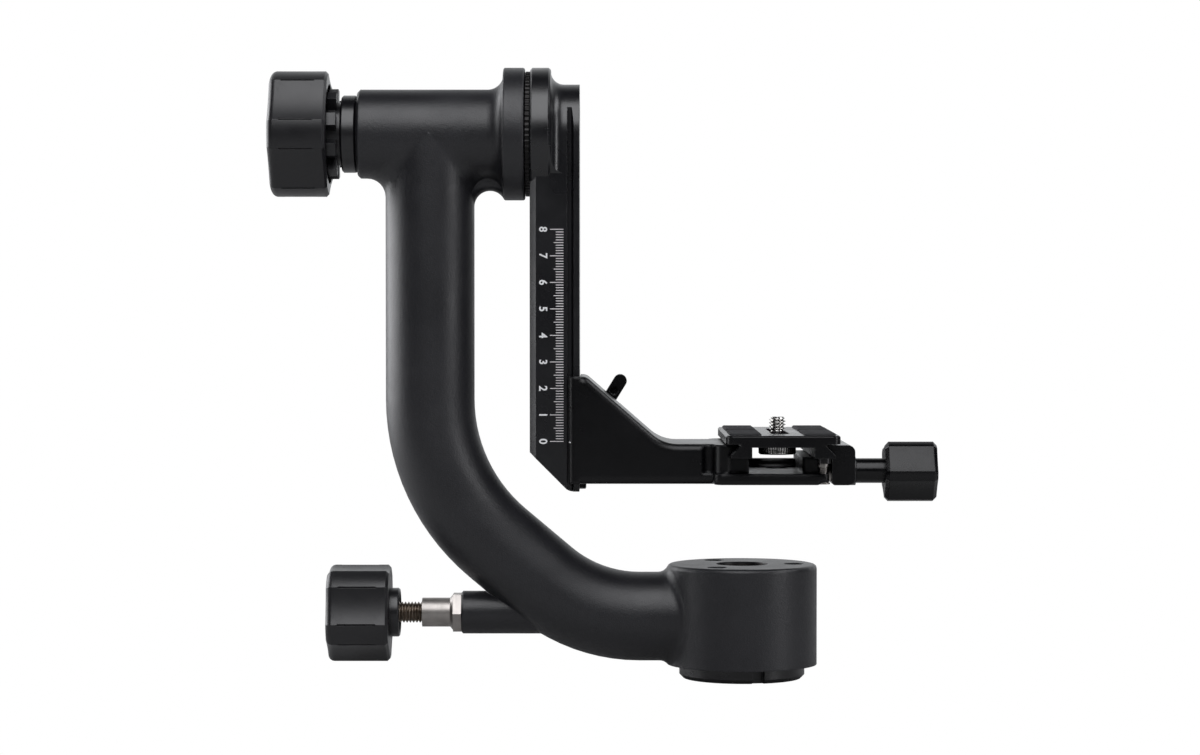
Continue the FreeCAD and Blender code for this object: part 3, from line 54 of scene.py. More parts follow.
# Node groups. Each one gives a mask or a value, and the material mixes it in.

def newGroup(name, outputs, inputs=()):
    group = bpy.data.node_groups.new(name, "ShaderNodeTree")
    for label, kind, value in inputs:
        socket = group.interface.new_socket(label, in_out="INPUT", socket_type=kind)
        socket.default_value = value
    for label, kind in outputs:
        group.interface.new_socket(label, in_out="OUTPUT", socket_type=kind)
    return group, group.nodes.new("NodeGroupInput"), group.nodes.new("NodeGroupOutput")


def addMath(tree, operation, first, second=None, clamp=False):
    node = tree.nodes.new("ShaderNodeMath")
    node.operation = operation
    node.use_clamp = clamp
    for index, value in enumerate((first, second)):
        if value is None:
            continue
        if isinstance(value, (int, float)):
            node.inputs[index].default_value = value
        else:
            tree.links.new(value, node.inputs[index])
    return node.outputs[0]


def addNoise(tree, vector, scale, detail=2.0, roughness=0.5):
    node = tree.nodes.new("ShaderNodeTexNoise")
    node.inputs["Scale"].default_value = scale
    node.inputs["Detail"].default_value = detail
    node.inputs["Roughness"].default_value = roughness
    tree.links.new(vector, node.inputs["Vector"])
    return node.outputs["Fac"]


def addRange(tree, value, low, high, newLow=0.0, newHigh=1.0):
    node = tree.nodes.new("ShaderNodeMapRange")
    node.clamp = True
    for label, number in (("From Min", low), ("From Max", high), ("To Min", newLow), ("To Max", newHigh)):
        node.inputs[label].default_value = number
    tree.links.new(value, node.inputs["Value"])
    return node.outputs["Result"]


def grainGroup(name, fineScale, coarseScale, pitScale):
    # Height is 0.6 of a fine noise plus 0.4 of a coarser one, less the dots of a cell texture.
    group, _, exitNode = newGroup(name, [("Height", "NodeSocketFloat"), ("Fleck", "NodeSocketFloat")])
    place = group.nodes.new("ShaderNodeTexCoord").outputs["Object"]
    fine = addNoise(group, place, fineScale, 3.0, 0.6)
    coarse = addNoise(group, place, coarseScale, 2.0)
    cells = group.nodes.new("ShaderNodeTexVoronoi")
    cells.inputs["Scale"].default_value = pitScale
    group.links.new(place, cells.inputs["Vector"])
    pits = addRange(group, cells.outputs["Distance"], 0.0, 0.42, 1.0, 0.0)
    fineShare = addMath(group, "MULTIPLY", fine, 0.6)
    mixed = addMath(group, "ADD", fineShare, addMath(group, "MULTIPLY", coarse, 0.4))
    height = addMath(group, "ADD", mixed, addMath(group, "MULTIPLY", pits, 0.25))
    group.links.new(height, exitNode.inputs["Height"])
    group.links.new(addRange(group, fine, 0.56, 0.74), exitNode.inputs["Fleck"])
    return group


def handlingGroup():
    # Smudge is a slow noise, stretched to 0-1. Dust is a fast noise kept above its upper third.
    group, _, exitNode = newGroup("handling", [("Smudge", "NodeSocketFloat"), ("Dust", "NodeSocketFloat")])
    place = group.nodes.new("ShaderNodeTexCoord").outputs["Object"]
    slow = addNoise(group, place, 38.0, 4.0, 0.62)
    fast = addNoise(group, place, 900.0, 1.0)
    group.links.new(addRange(group, slow, 0.35, 0.68), exitNode.inputs["Smudge"])
    dust = addMath(group, "MULTIPLY", addRange(group, fast, 0.62, 0.72), addRange(group, slow, 0.45, 0.6))
    group.links.new(dust, exitNode.inputs["Dust"])
    return group


def turnedGroup(name, stretch):
    # Lines is a noise squeezed along the lathe's axis, so it only changes along that axis.
    group, _, exitNode = newGroup(name, [("Lines", "NodeSocketFloat"), ("Tone", "NodeSocketFloat")])
    place = group.nodes.new("ShaderNodeTexCoord").outputs["Object"]
    mapping = group.nodes.new("ShaderNodeMapping")
    mapping.inputs["Scale"].default_value = stretch
    group.links.new(place, mapping.inputs["Vector"])
    lines = addNoise(group, mapping.outputs["Vector"], 1.0, 4.0, 0.7)
    group.links.new(lines, exitNode.inputs["Lines"])
    group.links.new(addRange(group, addNoise(group, place, 160.0, 3.0), 0.3, 0.7), exitNode.inputs["Tone"])
    return group


def wornEdgeGroup():
    # Edge is 1 where the normal that is rounded over a short radius leaves the true one.
    outputs = [("Edge", "NodeSocketFloat"), ("Normal", "NodeSocketVector")]
    group, entry, exitNode = newGroup("edgeSheenAndWear", outputs, [("Radius", "NodeSocketFloat", 0.0003)])
    rounded = group.nodes.new("ShaderNodeBevel")
    rounded.samples = 6
    group.links.new(entry.outputs["Radius"], rounded.inputs["Radius"])
    true = group.nodes.new("ShaderNodeNewGeometry")
    dot = group.nodes.new("ShaderNodeVectorMath")
    dot.operation = "DOT_PRODUCT"
    group.links.new(rounded.outputs["Normal"], dot.inputs[0])
    group.links.new(true.outputs["Normal"], dot.inputs[1])
    # The Edge mask lightens the coated finishes along their edges: partly edge wear, partly a painted highlight
    # on the rounded edges.
    group.links.new(addRange(group, dot.outputs["Value"], 0.97, 0.80), exitNode.inputs["Edge"])
    group.links.new(rounded.outputs["Normal"], exitNode.inputs["Normal"])
    return group


powderGrain = grainGroup("powderGrain", 2100.0, 760.0, 1400.0)
mouldGrain = grainGroup("mouldGrain", 2600.0, 700.0, 1700.0)
blastGrain = grainGroup("blastGrain", 5200.0, 1500.0, 4200.0)
rubberGrain = grainGroup("rubberGrain", 4200.0, 500.0, 2600.0)
handling = handlingGroup()
turnedX = turnedGroup("turnedX", (6200.0, 60.0, 60.0))
turnedZ = turnedGroup("turnedZ", (60.0, 60.0, 6200.0))
edgeSheenAndWear = wornEdgeGroup()


colours = dict(  # linear
    powder=(0.0078, 0.0079, 0.0100), powderHigh=(0.018, 0.0182, 0.0225),
    anodised=(0.0036, 0.0037, 0.0050), anodisedHigh=(0.0064, 0.0066, 0.0084),
    gloss=(0.0012, 0.0012, 0.0017), glossHigh=(0.0030, 0.0031, 0.0040),
    moulded=(0.0072, 0.0071, 0.0084), mouldedHigh=(0.0125, 0.0124, 0.0145),
    satinSteel=(0.42, 0.395, 0.375), darkSteel=(0.30, 0.25, 0.205), brightSteel=(0.74, 0.73, 0.71),
    ringSteel=(0.028, 0.027, 0.027), copper=(0.62, 0.30, 0.17), rubber=(0.026, 0.026, 0.028),
    polymer=(0.10, 0.095, 0.085), screwBlack=(0.042, 0.041, 0.042),
    printed=(0.82, 0.83, 0.84), ticks=(0.76, 0.73, 0.74))
# edgeShare and edgeLift make the edges lighter: partly wear, partly a painted highlight on the rounded edges.
coatWearAndEdgeSheen = dict(fleckShare=0.55, smudgeShare=0.25, edgeShare=0.45, edgeLift=2.4, dustRoughness=0.08)


def startMaterial(name):
    material = bpy.data.materials.new(name)
    material.use_nodes = True
    tree = material.node_tree
    return material, tree, tree.nodes["Principled BSDF"]


def useGroup(tree, group, **values):
    node = tree.nodes.new("ShaderNodeGroup")
    node.node_tree = group
    for label, value in values.items():
        node.inputs[label].default_value = value
    return node.outputs


def mixColour(tree, mask, first, second):
    node = tree.nodes.new("ShaderNodeMix")
    node.data_type = "RGBA"
    for socket, value in ((node.inputs[6], first), (node.inputs[7], second)):
        if isinstance(value, tuple):
            socket.default_value = (*value, 1.0)
        else:
            tree.links.new(value, socket)
    tree.links.new(mask, node.inputs[0])
    return node.outputs[2]


def coated(name, base, high, grain, roughness, bump, specular, edgeRadius=0.0003, edgeSheenTone=0.0):
    # Colour goes from base to high on the flecks and smudges. Roughness is its two values mixed by smudge.
    material, tree, shader = startMaterial(name)
    grainOut = useGroup(tree, grain)
    touch = useGroup(tree, handling)
    edge = useGroup(tree, edgeSheenAndWear, Radius=edgeRadius)
    flecks = addMath(tree, "MULTIPLY", grainOut["Fleck"], coatWearAndEdgeSheen["fleckShare"])
    smudges = addMath(tree, "MULTIPLY", touch["Smudge"], coatWearAndEdgeSheen["smudgeShare"])
    mask = addMath(tree, "ADD", flecks, smudges, clamp=True)
    colour = mixColour(tree, mask, base, high)
    # Along the edges the colour is lifted to a lighter tone, with edgeSheenTone added on top: partly wear,
    # partly a painted highlight.
    wearAndSheenColour = tuple(min(1.0, channel * coatWearAndEdgeSheen["edgeLift"] + edgeSheenTone) for channel in high)
    colour = mixColour(tree, addMath(tree, "MULTIPLY", edge["Edge"], coatWearAndEdgeSheen["edgeShare"]), colour, wearAndSheenColour)
    tree.links.new(colour, shader.inputs["Base Color"])
    rough = addRange(tree, touch["Smudge"], 0.0, 1.0, roughness[0], roughness[1])
    dust = addMath(tree, "MULTIPLY", touch["Dust"], coatWearAndEdgeSheen["dustRoughness"])
    rough = addMath(tree, "ADD", rough, dust)
    tree.links.new(rough, shader.inputs["Roughness"])
    shader.inputs["Specular IOR Level"].default_value = specular
    relief = tree.nodes.new("ShaderNodeBump")
    relief.inputs["Strength"].default_value = bump[0]
    relief.inputs["Distance"].default_value = bump[1]
    tree.links.new(grainOut["Height"], relief.inputs["Height"])
    tree.links.new(edge["Normal"], relief.inputs["Normal"])
    tree.links.new(relief.outputs["Normal"], shader.inputs["Normal"])
    return material


def metal(name, colour, lines, roughness, bump, tint=0.75, edgeRadius=0.00008):
    # Colour is dimmed to tint of itself by the tone mask. Roughness follows the lathe lines.
    material, tree, shader = startMaterial(name)
    turned = useGroup(tree, lines)
    edge = useGroup(tree, edgeSheenAndWear, Radius=edgeRadius)
    dimmed = tuple(channel * tint for channel in colour)
    tree.links.new(mixColour(tree, turned["Tone"], dimmed, colour), shader.inputs["Base Color"])
    shader.inputs["Metallic"].default_value = 1.0
    tree.links.new(addRange(tree, turned["Lines"], 0.3, 0.7, *roughness), shader.inputs["Roughness"])
    relief = tree.nodes.new("ShaderNodeBump")
    relief.inputs["Strength"].default_value = bump[0]
    relief.inputs["Distance"].default_value = bump[1]
    tree.links.new(turned["Lines"], relief.inputs["Height"])
    tree.links.new(edge["Normal"], relief.inputs["Normal"])
    tree.links.new(relief.outputs["Normal"], shader.inputs["Normal"])
    return material


def printed(name, colour):
    # Ink: the colour is broken up a little by the handling noise.
    material, tree, shader = startMaterial(name)
    touch = useGroup(tree, handling)
    faded = tuple(channel * 0.86 for channel in colour)
    tree.links.new(mixColour(tree, touch["Smudge"], colour, faded), shader.inputs["Base Color"])
    tree.links.new(addRange(tree, touch["Dust"], 0.0, 1.0, 0.5, 0.7), shader.inputs["Roughness"])
    return material


materials = dict(
    powder_black=coated("powderBlack", colours["powder"], colours["powderHigh"], powderGrain, (0.38, 0.47),
                        (0.55, 0.00016), 0.55, 0.0007),
    anodised_black=coated("anodisedBlack", colours["anodised"], colours["anodisedHigh"], blastGrain,
                          (0.26, 0.34), (0.16, 0.00004), 0.6),
    # The gloss finish adds 0.02 to its lighter edge colour: partly bare edges, partly a painted highlight along
    # them.
    gloss_black=coated("glossBlack", colours["gloss"], colours["glossHigh"], blastGrain, (0.22, 0.30),
                       (0.12, 0.00003), 0.32, 0.0005, 0.02),
    bracket_black=coated("bracketBlack", colours["gloss"], colours["glossHigh"], blastGrain, (0.26, 0.34),
                         (0.12, 0.00003), 0.30, 0.0018),
    moulded_black=coated("mouldedBlack", colours["moulded"], colours["mouldedHigh"], mouldGrain, (0.28, 0.38),
                         (0.22, 0.00005), 0.5, 0.0002),
    pad_rubber=coated("padRubber", colours["rubber"], colours["mouldedHigh"], rubberGrain, (0.62, 0.78),
                      (0.5, 0.00008), 0.35),
    bush_polymer=coated("bushPolymer", colours["polymer"], colours["polymer"], mouldGrain, (0.45, 0.6),
                        (0.2, 0.00005), 0.5),
    satin_steel=metal("satinSteel", colours["satinSteel"], turnedX, (0.34, 0.50), (0.25, 0.00002)),
    dark_steel=metal("darkSteel", colours["darkSteel"], turnedX, (0.24, 0.38), (0.2, 0.00002), 0.7),
    dark_ring=metal("darkRing", colours["ringSteel"], turnedX, (0.34, 0.5), (0.2, 0.00002), 0.6),
    black_screw=metal("blackScrew", colours["screwBlack"], turnedX, (0.28, 0.42), (0.2, 0.00002), 0.7),
    bearing_steel=metal("bearingSteel", colours["brightSteel"], turnedZ, (0.12, 0.22), (0.1, 0.00001), 0.9),
    spring_steel=metal("springSteel", colours["satinSteel"], turnedZ, (0.22, 0.34), (0.1, 0.00001)),
    bright_steel=metal("brightSteel", colours["brightSteel"], turnedZ, (0.14, 0.30), (0.2, 0.00002), 0.85),
    copper_nut=metal("copperNut", colours["copper"], turnedZ, (0.28, 0.42), (0.2, 0.00002)),
)
digitInk = printed("digitInk", colours["printed"])
tickInk = printed("tickInk", colours["ticks"])

slotOf = {part["node"]: part["material_slot"] for part in frame["record"]["subparts"]}
slotOf["lens_bracket"] = "bracket_black"
slotOf.update(dict.fromkeys(("lever_screw", "rail_stop_screw", "plate_stop_screws", "carrier_cap_screws",
                             "tilt_shaft_screws"), "black_screw"))
slotOf.update(dict.fromkeys(("rear_claw", "clamp_jaw", "quick_release_plate", "clamp_lever",
                             "clamp_knob", "clamp_knob_sleeve"), "gloss_black"))
for name, thing in nodes.items():
    thing.data.materials.clear()
    thing.data.materials.append(materials[slotOf[name]])
print("materials on the frame")


# Surfaces. Each is an array of points, turned into a mesh with its faces outward.

def makePiece(name, points, faces, body, material, smooth=True, sharp=35.0):
    points = np.asarray(points, dtype=np.float64) * mm
    mesh = bpy.data.meshes.new(name)
    sizes = np.concatenate([np.full(len(f), f.shape[1]) for f in faces])
    corners = np.concatenate([f.ravel() for f in faces])
    starts = np.concatenate([[0], np.cumsum(sizes)[:-1]])
    mesh.vertices.add(len(points))
    mesh.vertices.foreach_set("co", points.ravel())
    mesh.loops.add(len(corners))
    mesh.loops.foreach_set("vertex_index", corners.astype(np.int32))
    mesh.polygons.add(len(sizes))
    mesh.polygons.foreach_set("loop_start", starts.astype(np.int32))
    mesh.update(calc_edges=True)
    mesh.validate()
    mesh.polygons.foreach_set("use_smooth", np.full(len(mesh.polygons), smooth))
    mesh.set_sharp_from_angle(angle=radians(sharp))
    mesh.materials.append(material)
    thing = bpy.data.objects.new(name, mesh)
    bpy.context.scene.collection.objects.link(thing)
    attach(thing, body)
    return thing


def volumeOf(points, faces):
    # A sixth of the sum, over the fan of triangles in each face, of corner dot corner cross corner.
    total = 0.0
    for group in faces:
        first = points[group[:, 0]]
        for k in range(1, group.shape[1] - 1):
            crossed = np.cross(points[group[:, k]], points[group[:, k + 1]])
            total += np.sum(first * crossed)
    return total / 6.0


def outward(points, faces):
    # A shell whose volume comes out negative is inside out, so its corners are listed the other way.
    if volumeOf(points, faces) < 0:
        return [group[:, ::-1] for group in faces]
    return faces


def ringStack(rings):
    # rings is (count, steps, 3). Neighbouring rings are joined, and each end closes on its middle.
    count, steps, _ = rings.shape
    index = np.arange(count * steps).reshape(count, steps)
    onward = np.roll(index, -1, axis=1)
    quads = np.stack([index[:-1], onward[:-1], onward[1:], index[1:]], axis=-1).reshape(-1, 4)
    poles = np.stack([rings[0].mean(axis=0), rings[-1].mean(axis=0)])
    low, high = count * steps, count * steps + 1
    lowFan = np.stack([np.full(steps, low), onward[0], index[0]], axis=-1)
    highFan = np.stack([np.full(steps, high), index[-1], onward[-1]], axis=-1)
    points = np.concatenate([rings.reshape(-1, 3), poles])
    return points, outward(points, [quads, lowFan, highFan])


def loopStack(rings):
    # As ringStack, but the last ring joins the first, as on a washer.
    count, steps, _ = rings.shape
    index = np.arange(count * steps).reshape(count, steps)
    nextRing = np.roll(index, -1, axis=0)
    quads = np.stack([index, np.roll(index, -1, axis=1), np.roll(nextRing, -1, axis=1), nextRing],
                     axis=-1).reshape(-1, 4)
    points = rings.reshape(-1, 3)
    return points, outward(points, [quads])


def boxes(lows, highs):
    # One closed box for each pair of corners.
    pattern = np.array([[0, 0, 0], [1, 0, 0], [1, 1, 0], [0, 1, 0],
                        [0, 0, 1], [1, 0, 1], [1, 1, 1], [0, 1, 1]])
    points = lows[:, None, :] + pattern[None] * (highs - lows)[:, None, :]
    sides = np.array([[0, 3, 2, 1], [4, 5, 6, 7], [0, 1, 5, 4], [1, 2, 6, 5], [2, 3, 7, 6], [3, 0, 4, 7]])
    faces = sides[None] + 8 * np.arange(len(lows))[:, None, None]
    return points.reshape(-1, 3), [faces.reshape(-1, 4)]


threadShape = dict(slope=1.35, rootFlat=0.12)


def threadHeight(along, angle, pitch):
    # 1 on the crest and 0 in the root: a clipped triangle of the place along the helix.
    share = np.mod(along / pitch - angle / tau, 1.0)
    triangle = 1.0 - np.abs(2.0 * share - 1.0)
    return np.clip(triangle * threadShape["slope"] - threadShape["rootFlat"], 0.0, 1.0)


panThread = dict(radius=4.0, pitch=1.25, depth=0.75, start=-151.9, end=-24.6, cutStart=-141.0, cutEnd=-121.0,
                 noseRadius=2.8, noseX=-28.3, axisZ=25.0, runOut=0.6, step=0.09, sides=56, shoulder=0.3,
                 chamfer=0.4)


def panScrewThread():
    # Rings along X. The radius is the screw's, less the depth of the thread times its root share.
    s = panThread
    thread = np.arange(s["cutStart"], s["cutEnd"], s["step"])
    along = np.concatenate([[s["start"], s["cutStart"] - s["runOut"]], thread,
                            [s["cutEnd"] + s["runOut"], s["noseX"] - s["shoulder"]]])
    angle = np.linspace(0, tau, s["sides"], endpoint=False)
    a, t = np.meshgrid(along, angle, indexing="ij")
    inside = np.clip(np.minimum(a - s["cutStart"], s["cutEnd"] - a) / s["pitch"], 0.0, 1.0)
    radius = s["radius"] - s["depth"] * (1.0 - threadHeight(a, t, s["pitch"])) * inside
    nose = np.array([s["noseX"] - s["shoulder"], s["end"] - s["chamfer"], s["end"]])
    noseRadius = np.array([s["noseRadius"], s["noseRadius"], s["noseRadius"] - s["chamfer"]])
    an, tn = np.meshgrid(nose, angle, indexing="ij")
    rn = noseRadius[:, None] * np.ones_like(tn)
    a, t, radius = (np.concatenate(pair) for pair in ((a, an), (t, tn), (radius, rn)))
    rings = np.stack([a, radius * np.cos(t), s["axisZ"] + radius * np.sin(t)], axis=-1)
    thing = makePiece("panScrewThread", *ringStack(rings), "pan_knob", materials["dark_steel"], sharp=50.0)
    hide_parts("pan_lock_screw")


cameraThread = dict(radius=3.175, pitch=1.27, depth=0.85, bottom=94.6, top=100.1, tip=0.9, tipSlope=0.85,
                    neckRadius=2.6, neckBottom=89.3, neckInto=0.3, neckStop=0.2, runOut=0.9, step=0.075,
                    sides=72, x=13.5)
cameraHead = dict(radius=7.2, bottom=85.7, top=89.3, knurls=44, knurlDepth=0.22, knurlSamples=6, bevel=0.5,
                  topLand=0.45, topBevel=0.35, blend=0.05, slotWidth=1.6, slotDepth=1.6, x=13.5)


def cameraScrewPieces():
    # The thread is as on the pan lock's screw, but along Z and from the neck's radius. The head's rings
    # have the knurls as a cosine of the angle, cut in less at the ends.
    s = cameraThread
    along = np.arange(s["bottom"], s["top"] - 0.001, s["step"])
    along = np.append(along, s["top"])
    angle = np.linspace(0, tau, s["sides"], endpoint=False)
    a, t = np.meshgrid(along, angle, indexing="ij")
    height = threadHeight(a, t, s["pitch"])
    runOut = np.clip((a - s["bottom"]) / s["runOut"], 0.0, 1.0)
    crest = s["radius"] - np.clip(a - (s["top"] - s["tip"]), 0.0, None) * s["tipSlope"]
    root = s["radius"] - s["depth"]
    radius = np.minimum(crest, root + (s["radius"] - root) * height)
    radius = s["neckRadius"] + (radius - s["neckRadius"]) * runOut
    neckZ = np.array([s["neckBottom"] - s["neckInto"], s["bottom"] - s["neckStop"]])
    zn, tn = np.meshgrid(neckZ, angle, indexing="ij")
    a, t = np.concatenate([zn, a]), np.concatenate([tn, t])
    radius = np.concatenate([np.full_like(zn, s["neckRadius"]), radius])
    rings = np.stack([s["x"] + radius * np.cos(t), radius * np.sin(t), a], axis=-1)
    thread = makePiece("cameraScrewThread", *ringStack(rings), "camera_screw", materials["bright_steel"],
                       sharp=50.0)
    h = cameraHead
    angle = np.linspace(0, tau, h["knurls"] * h["knurlSamples"], endpoint=False)
    wave = 0.5 - 0.5 * np.cos(angle * h["knurls"])
    heights = np.array([h["bottom"], h["bottom"] + h["bevel"], h["bottom"] + h["bevel"] + h["blend"],
                        h["top"] - h["topLand"], h["top"] - (h["topLand"] - h["blend"]), h["top"]])
    radii = h["radius"] - np.array([h["bevel"], 0.0, 0.0, 0.0, 0.0, h["topBevel"]])
    cut = np.array([0.0, 0.2, 1.0, 1.0, 0.2, 0.0])
    radius = radii[:, None] - h["knurlDepth"] * cut[:, None] * wave[None]
    rings = np.stack([h["x"] + radius * np.cos(angle), radius * np.sin(angle),
                      np.repeat(heights[:, None], len(angle), axis=1)], axis=-1)
    head = makePiece("cameraScrewHead", *ringStack(rings), "camera_screw", materials["bright_steel"])
    lows = np.array([[h["x"] - h["radius"] - 1, -h["slotWidth"] / 2, h["bottom"] - 1]])
    highs = np.array([[h["x"] + h["radius"] + 1, h["slotWidth"] / 2, h["bottom"] + h["slotDepth"]]])
    carve(head, *boxes(lows, highs))
    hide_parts("camera_screw")


def carve(thing, points, faces):
    # The cutter is made, subtracted and thrown away.
    mesh = bpy.data.meshes.new("cutter")
    mesh.from_pydata((points * mm).tolist(), [], faces[0].tolist())
    cutter = bpy.data.objects.new("cutter", mesh)
    bpy.context.scene.collection.objects.link(cutter)
    modifier = thing.modifiers.new("slot", "BOOLEAN")
    modifier.operation = "DIFFERENCE"
    modifier.object = cutter
    bpy.context.view_layer.update()
    result = bpy.data.meshes.new_from_object(thing.evaluated_get(bpy.context.evaluated_depsgraph_get()))
    thing.modifiers.clear()
    thing.data = result
    bpy.data.objects.remove(cutter)
    bpy.data.meshes.remove(mesh)


scaleSettings = dict(zeroZ=91.4, steps=81, spacing=1.0, rightX=-68.2, faceY=-18.9, lengths=(2.9, 3.7, 5.1),
                     thickness=0.3, relief=0.03, sunk=0.05, digitHeight=3.1, digitWidth=1.95, digitGap=1.0,
                     digitWeight=0.022, digitStep=10.0)


def scaleMarks():
    # A box for each tick, from the scale's right edge to the left by its length. Each numeral is a flat
    # text turned on its side: its own height goes along X and its width down Z.
    s = scaleSettings
    k = np.arange(s["steps"])
    length = np.where(k % 10 == 0, s["lengths"][2], np.where(k % 5 == 0, s["lengths"][1], s["lengths"][0]))
    z = s["zeroZ"] + k * s["spacing"]
    half = s["thickness"] / 2
    lows = np.stack([s["rightX"] - length, np.full(len(k), s["faceY"] - s["relief"]), z - half], axis=-1)
    highs = np.stack([np.full(len(k), s["rightX"]), np.full(len(k), s["faceY"] + s["sunk"]), z + half], axis=-1)
    ticks = makePiece("scaleTicks", *boxes(lows, highs), "swing", tickInk, smooth=False)
    left = s["rightX"] - s["lengths"][2] - s["digitGap"] - s["digitHeight"]
    stretch = None
    for number in (8, 0, 1, 2, 3, 4, 5, 6, 7):  # the 8 comes first, as its width sets the stretch
        curve = bpy.data.curves.new("numeral", "FONT")
        curve.body = str(number)
        curve.offset = s["digitWeight"]
        curve.extrude = 0.01
        text = bpy.data.objects.new("numeral", curve)
        bpy.context.scene.collection.objects.link(text)
        bpy.context.view_layer.update()
        mesh = bpy.data.meshes.new_from_object(text.evaluated_get(bpy.context.evaluated_depsgraph_get()))
        bpy.data.objects.remove(text)
        points = np.empty(len(mesh.vertices) * 3)
        mesh.vertices.foreach_get("co", points)
        points = points.reshape(-1, 3)
        low, high = points.min(axis=0), points.max(axis=0)
        if stretch is None:
            stretch = s["digitWidth"] / (high[0] - low[0])
        along = (points[:, 0] - (low[0] + high[0]) / 2) * stretch
        tall = (points[:, 1] - low[1]) / (high[1] - low[1]) * s["digitHeight"]
        deep = np.where(points[:, 2] > 0, -s["relief"], s["sunk"])
        middle = s["zeroZ"] + number * s["digitStep"]
        placed = np.stack([left + tall, s["faceY"] + deep, middle - along], axis=-1)
        mesh.vertices.foreach_set("co", (placed * mm).ravel())
        mesh.update()
        mesh.materials.clear()
        mesh.materials.append(digitInk)
        digit = bpy.data.objects.new("scaleDigit%d" % number, mesh)
        bpy.context.scene.collection.objects.link(digit)
        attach(digit, "swing")


indexSettings = dict(x=-63.95, y=-21.8, edge=2.2, arc=(186.0, 228.0), steps=9, z=91.2, thickness=0.45,
                     relief=0.03, sunk=0.05)


def indexMark():
    # A strip of ink on the rounded edge of the bracket's claw: a round path in X and Y, flat in Z.
    s = indexSettings
    angle = np.radians(np.linspace(*s["arc"], s["steps"]))
    radii = s["edge"] + np.array([-s["sunk"], s["relief"], s["relief"], -s["sunk"]])
    heights = s["z"] + s["thickness"] * np.array([-0.5, -0.5, 0.5, 0.5])
    rings = np.stack([s["x"] + np.outer(np.cos(angle), radii), s["y"] + np.outer(np.sin(angle), radii),
                      np.repeat(heights[None], len(angle), axis=0)], axis=-1)
    mark = makePiece("indexMark", *ringStack(rings), "bracket", digitInk, smooth=False)


padSettings = dict(plateX=13.5, innerX=8.0, width=11.6, innerY=4.0, length=35.5, top=95.3, floor=94.0,
                   pitch=1.45, ribDepth=0.28, ribSharpness=0.9, ribFade=0.8, edge=0.35, columns=25, rows=281)


def ribbedPads():
    # Height over a flat grid: the top less the rib depth times a clipped cosine along Y, which fades out
    # near the rim, and less a root curve of the distance to the rim. A rim, walls and a fan close it.
    s = padSettings
    for sideX in (-1, 1):
        for sideY in (-1, 1):
            x0 = s["plateX"] + sideX * (s["innerX"] + s["width"] / 2) - s["width"] / 2
            y0 = sideY * (s["innerY"] + s["length"] / 2) - s["length"] / 2
            across = np.linspace(0, 1, s["columns"])
            along = np.linspace(0, 1, s["rows"])
            u, v = np.meshgrid(across, along, indexing="ij")
            x, y = x0 + u * s["width"], y0 + v * s["length"]
            toSide = np.minimum(x - x0, x0 + s["width"] - x)
            toEdge = np.minimum(toSide, np.minimum(y - y0, y0 + s["length"] - y))
            wave = np.clip(0.5 - s["ribSharpness"] * np.cos(tau * (y - y0) / s["pitch"]), 0.0, 1.0)
            inner = np.clip(toEdge / s["ribFade"], 0.0, 1.0)
            drop = np.sqrt(np.clip(1.0 - np.clip(toEdge / s["edge"], 0.0, 1.0), 0.0, 1.0)) * s["edge"]
            z = s["top"] - s["ribDepth"] * (1.0 - wave) * inner - drop
            top = np.stack([x, y, z], axis=-1)
            index = np.arange(x.size).reshape(x.shape)
            quads = np.stack([index[:-1, :-1], index[1:, :-1], index[1:, 1:], index[:-1, 1:]],
                             axis=-1).reshape(-1, 4)
            rim = np.concatenate([index[:, 0], index[-1, 1:], index[-2::-1, -1], index[0, -2:0:-1]])
            points = top.reshape(-1, 3)
            below = points[rim].copy()
            below[:, 2] = s["floor"]
            lower = len(points) + np.arange(len(rim))
            walls = np.stack([rim, lower, np.roll(lower, -1), np.roll(rim, -1)], axis=-1)
            middle = np.array([[x0 + s["width"] / 2, y0 + s["length"] / 2, s["floor"]]])
            centre = np.full(len(rim), len(points) + len(rim))
            fan = np.stack([centre, np.roll(lower, -1), lower], axis=-1)
            points = np.concatenate([points, below, middle])
            name = "padStrip" + ("Left" if sideX < 0 else "Right") + ("Front" if sideY < 0 else "Rear")
            faces = outward(points, [quads, walls, fan])
            pad = makePiece(name, points, faces, "plate", materials["pad_rubber"], sharp=60.0)
            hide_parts("plate_pads")


springSettings = dict(x=29.3, y=-28.6, radius=1.78, wire=0.17, bottom=79.72, top=82.38, turns=3.6, steps=220,
                      sides=12)


def coilSpring():
    # A circle of the wire's radius carried along a helix that rises evenly from bottom to top.
    s = springSettings
    turn = np.linspace(0, s["turns"] * tau, s["steps"])
    rise = np.linspace(s["bottom"] + s["wire"], s["top"] - s["wire"], len(turn))
    around = np.linspace(0, tau, s["sides"], endpoint=False)
    t, w = np.meshgrid(turn, around, indexing="ij")
    radius = s["radius"] + s["wire"] * np.cos(w)
    z = rise[:, None] + s["wire"] * np.sin(w)
    rings = np.stack([s["x"] + radius * np.cos(t), s["y"] + radius * np.sin(t), z], axis=-1)
    spring = makePiece("stopPinCoil", *ringStack(rings), "bracket", materials["spring_steel"])
    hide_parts("stop_pin_spring")
    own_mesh(spring)


frictionRing = dict(outer=23.85, inner=17.0, left=-82.8, right=-81.0, teeth=72, depth=0.25, samples=8,
                    sharpness=1.2, bevel=0.15, axisZ=208.2)


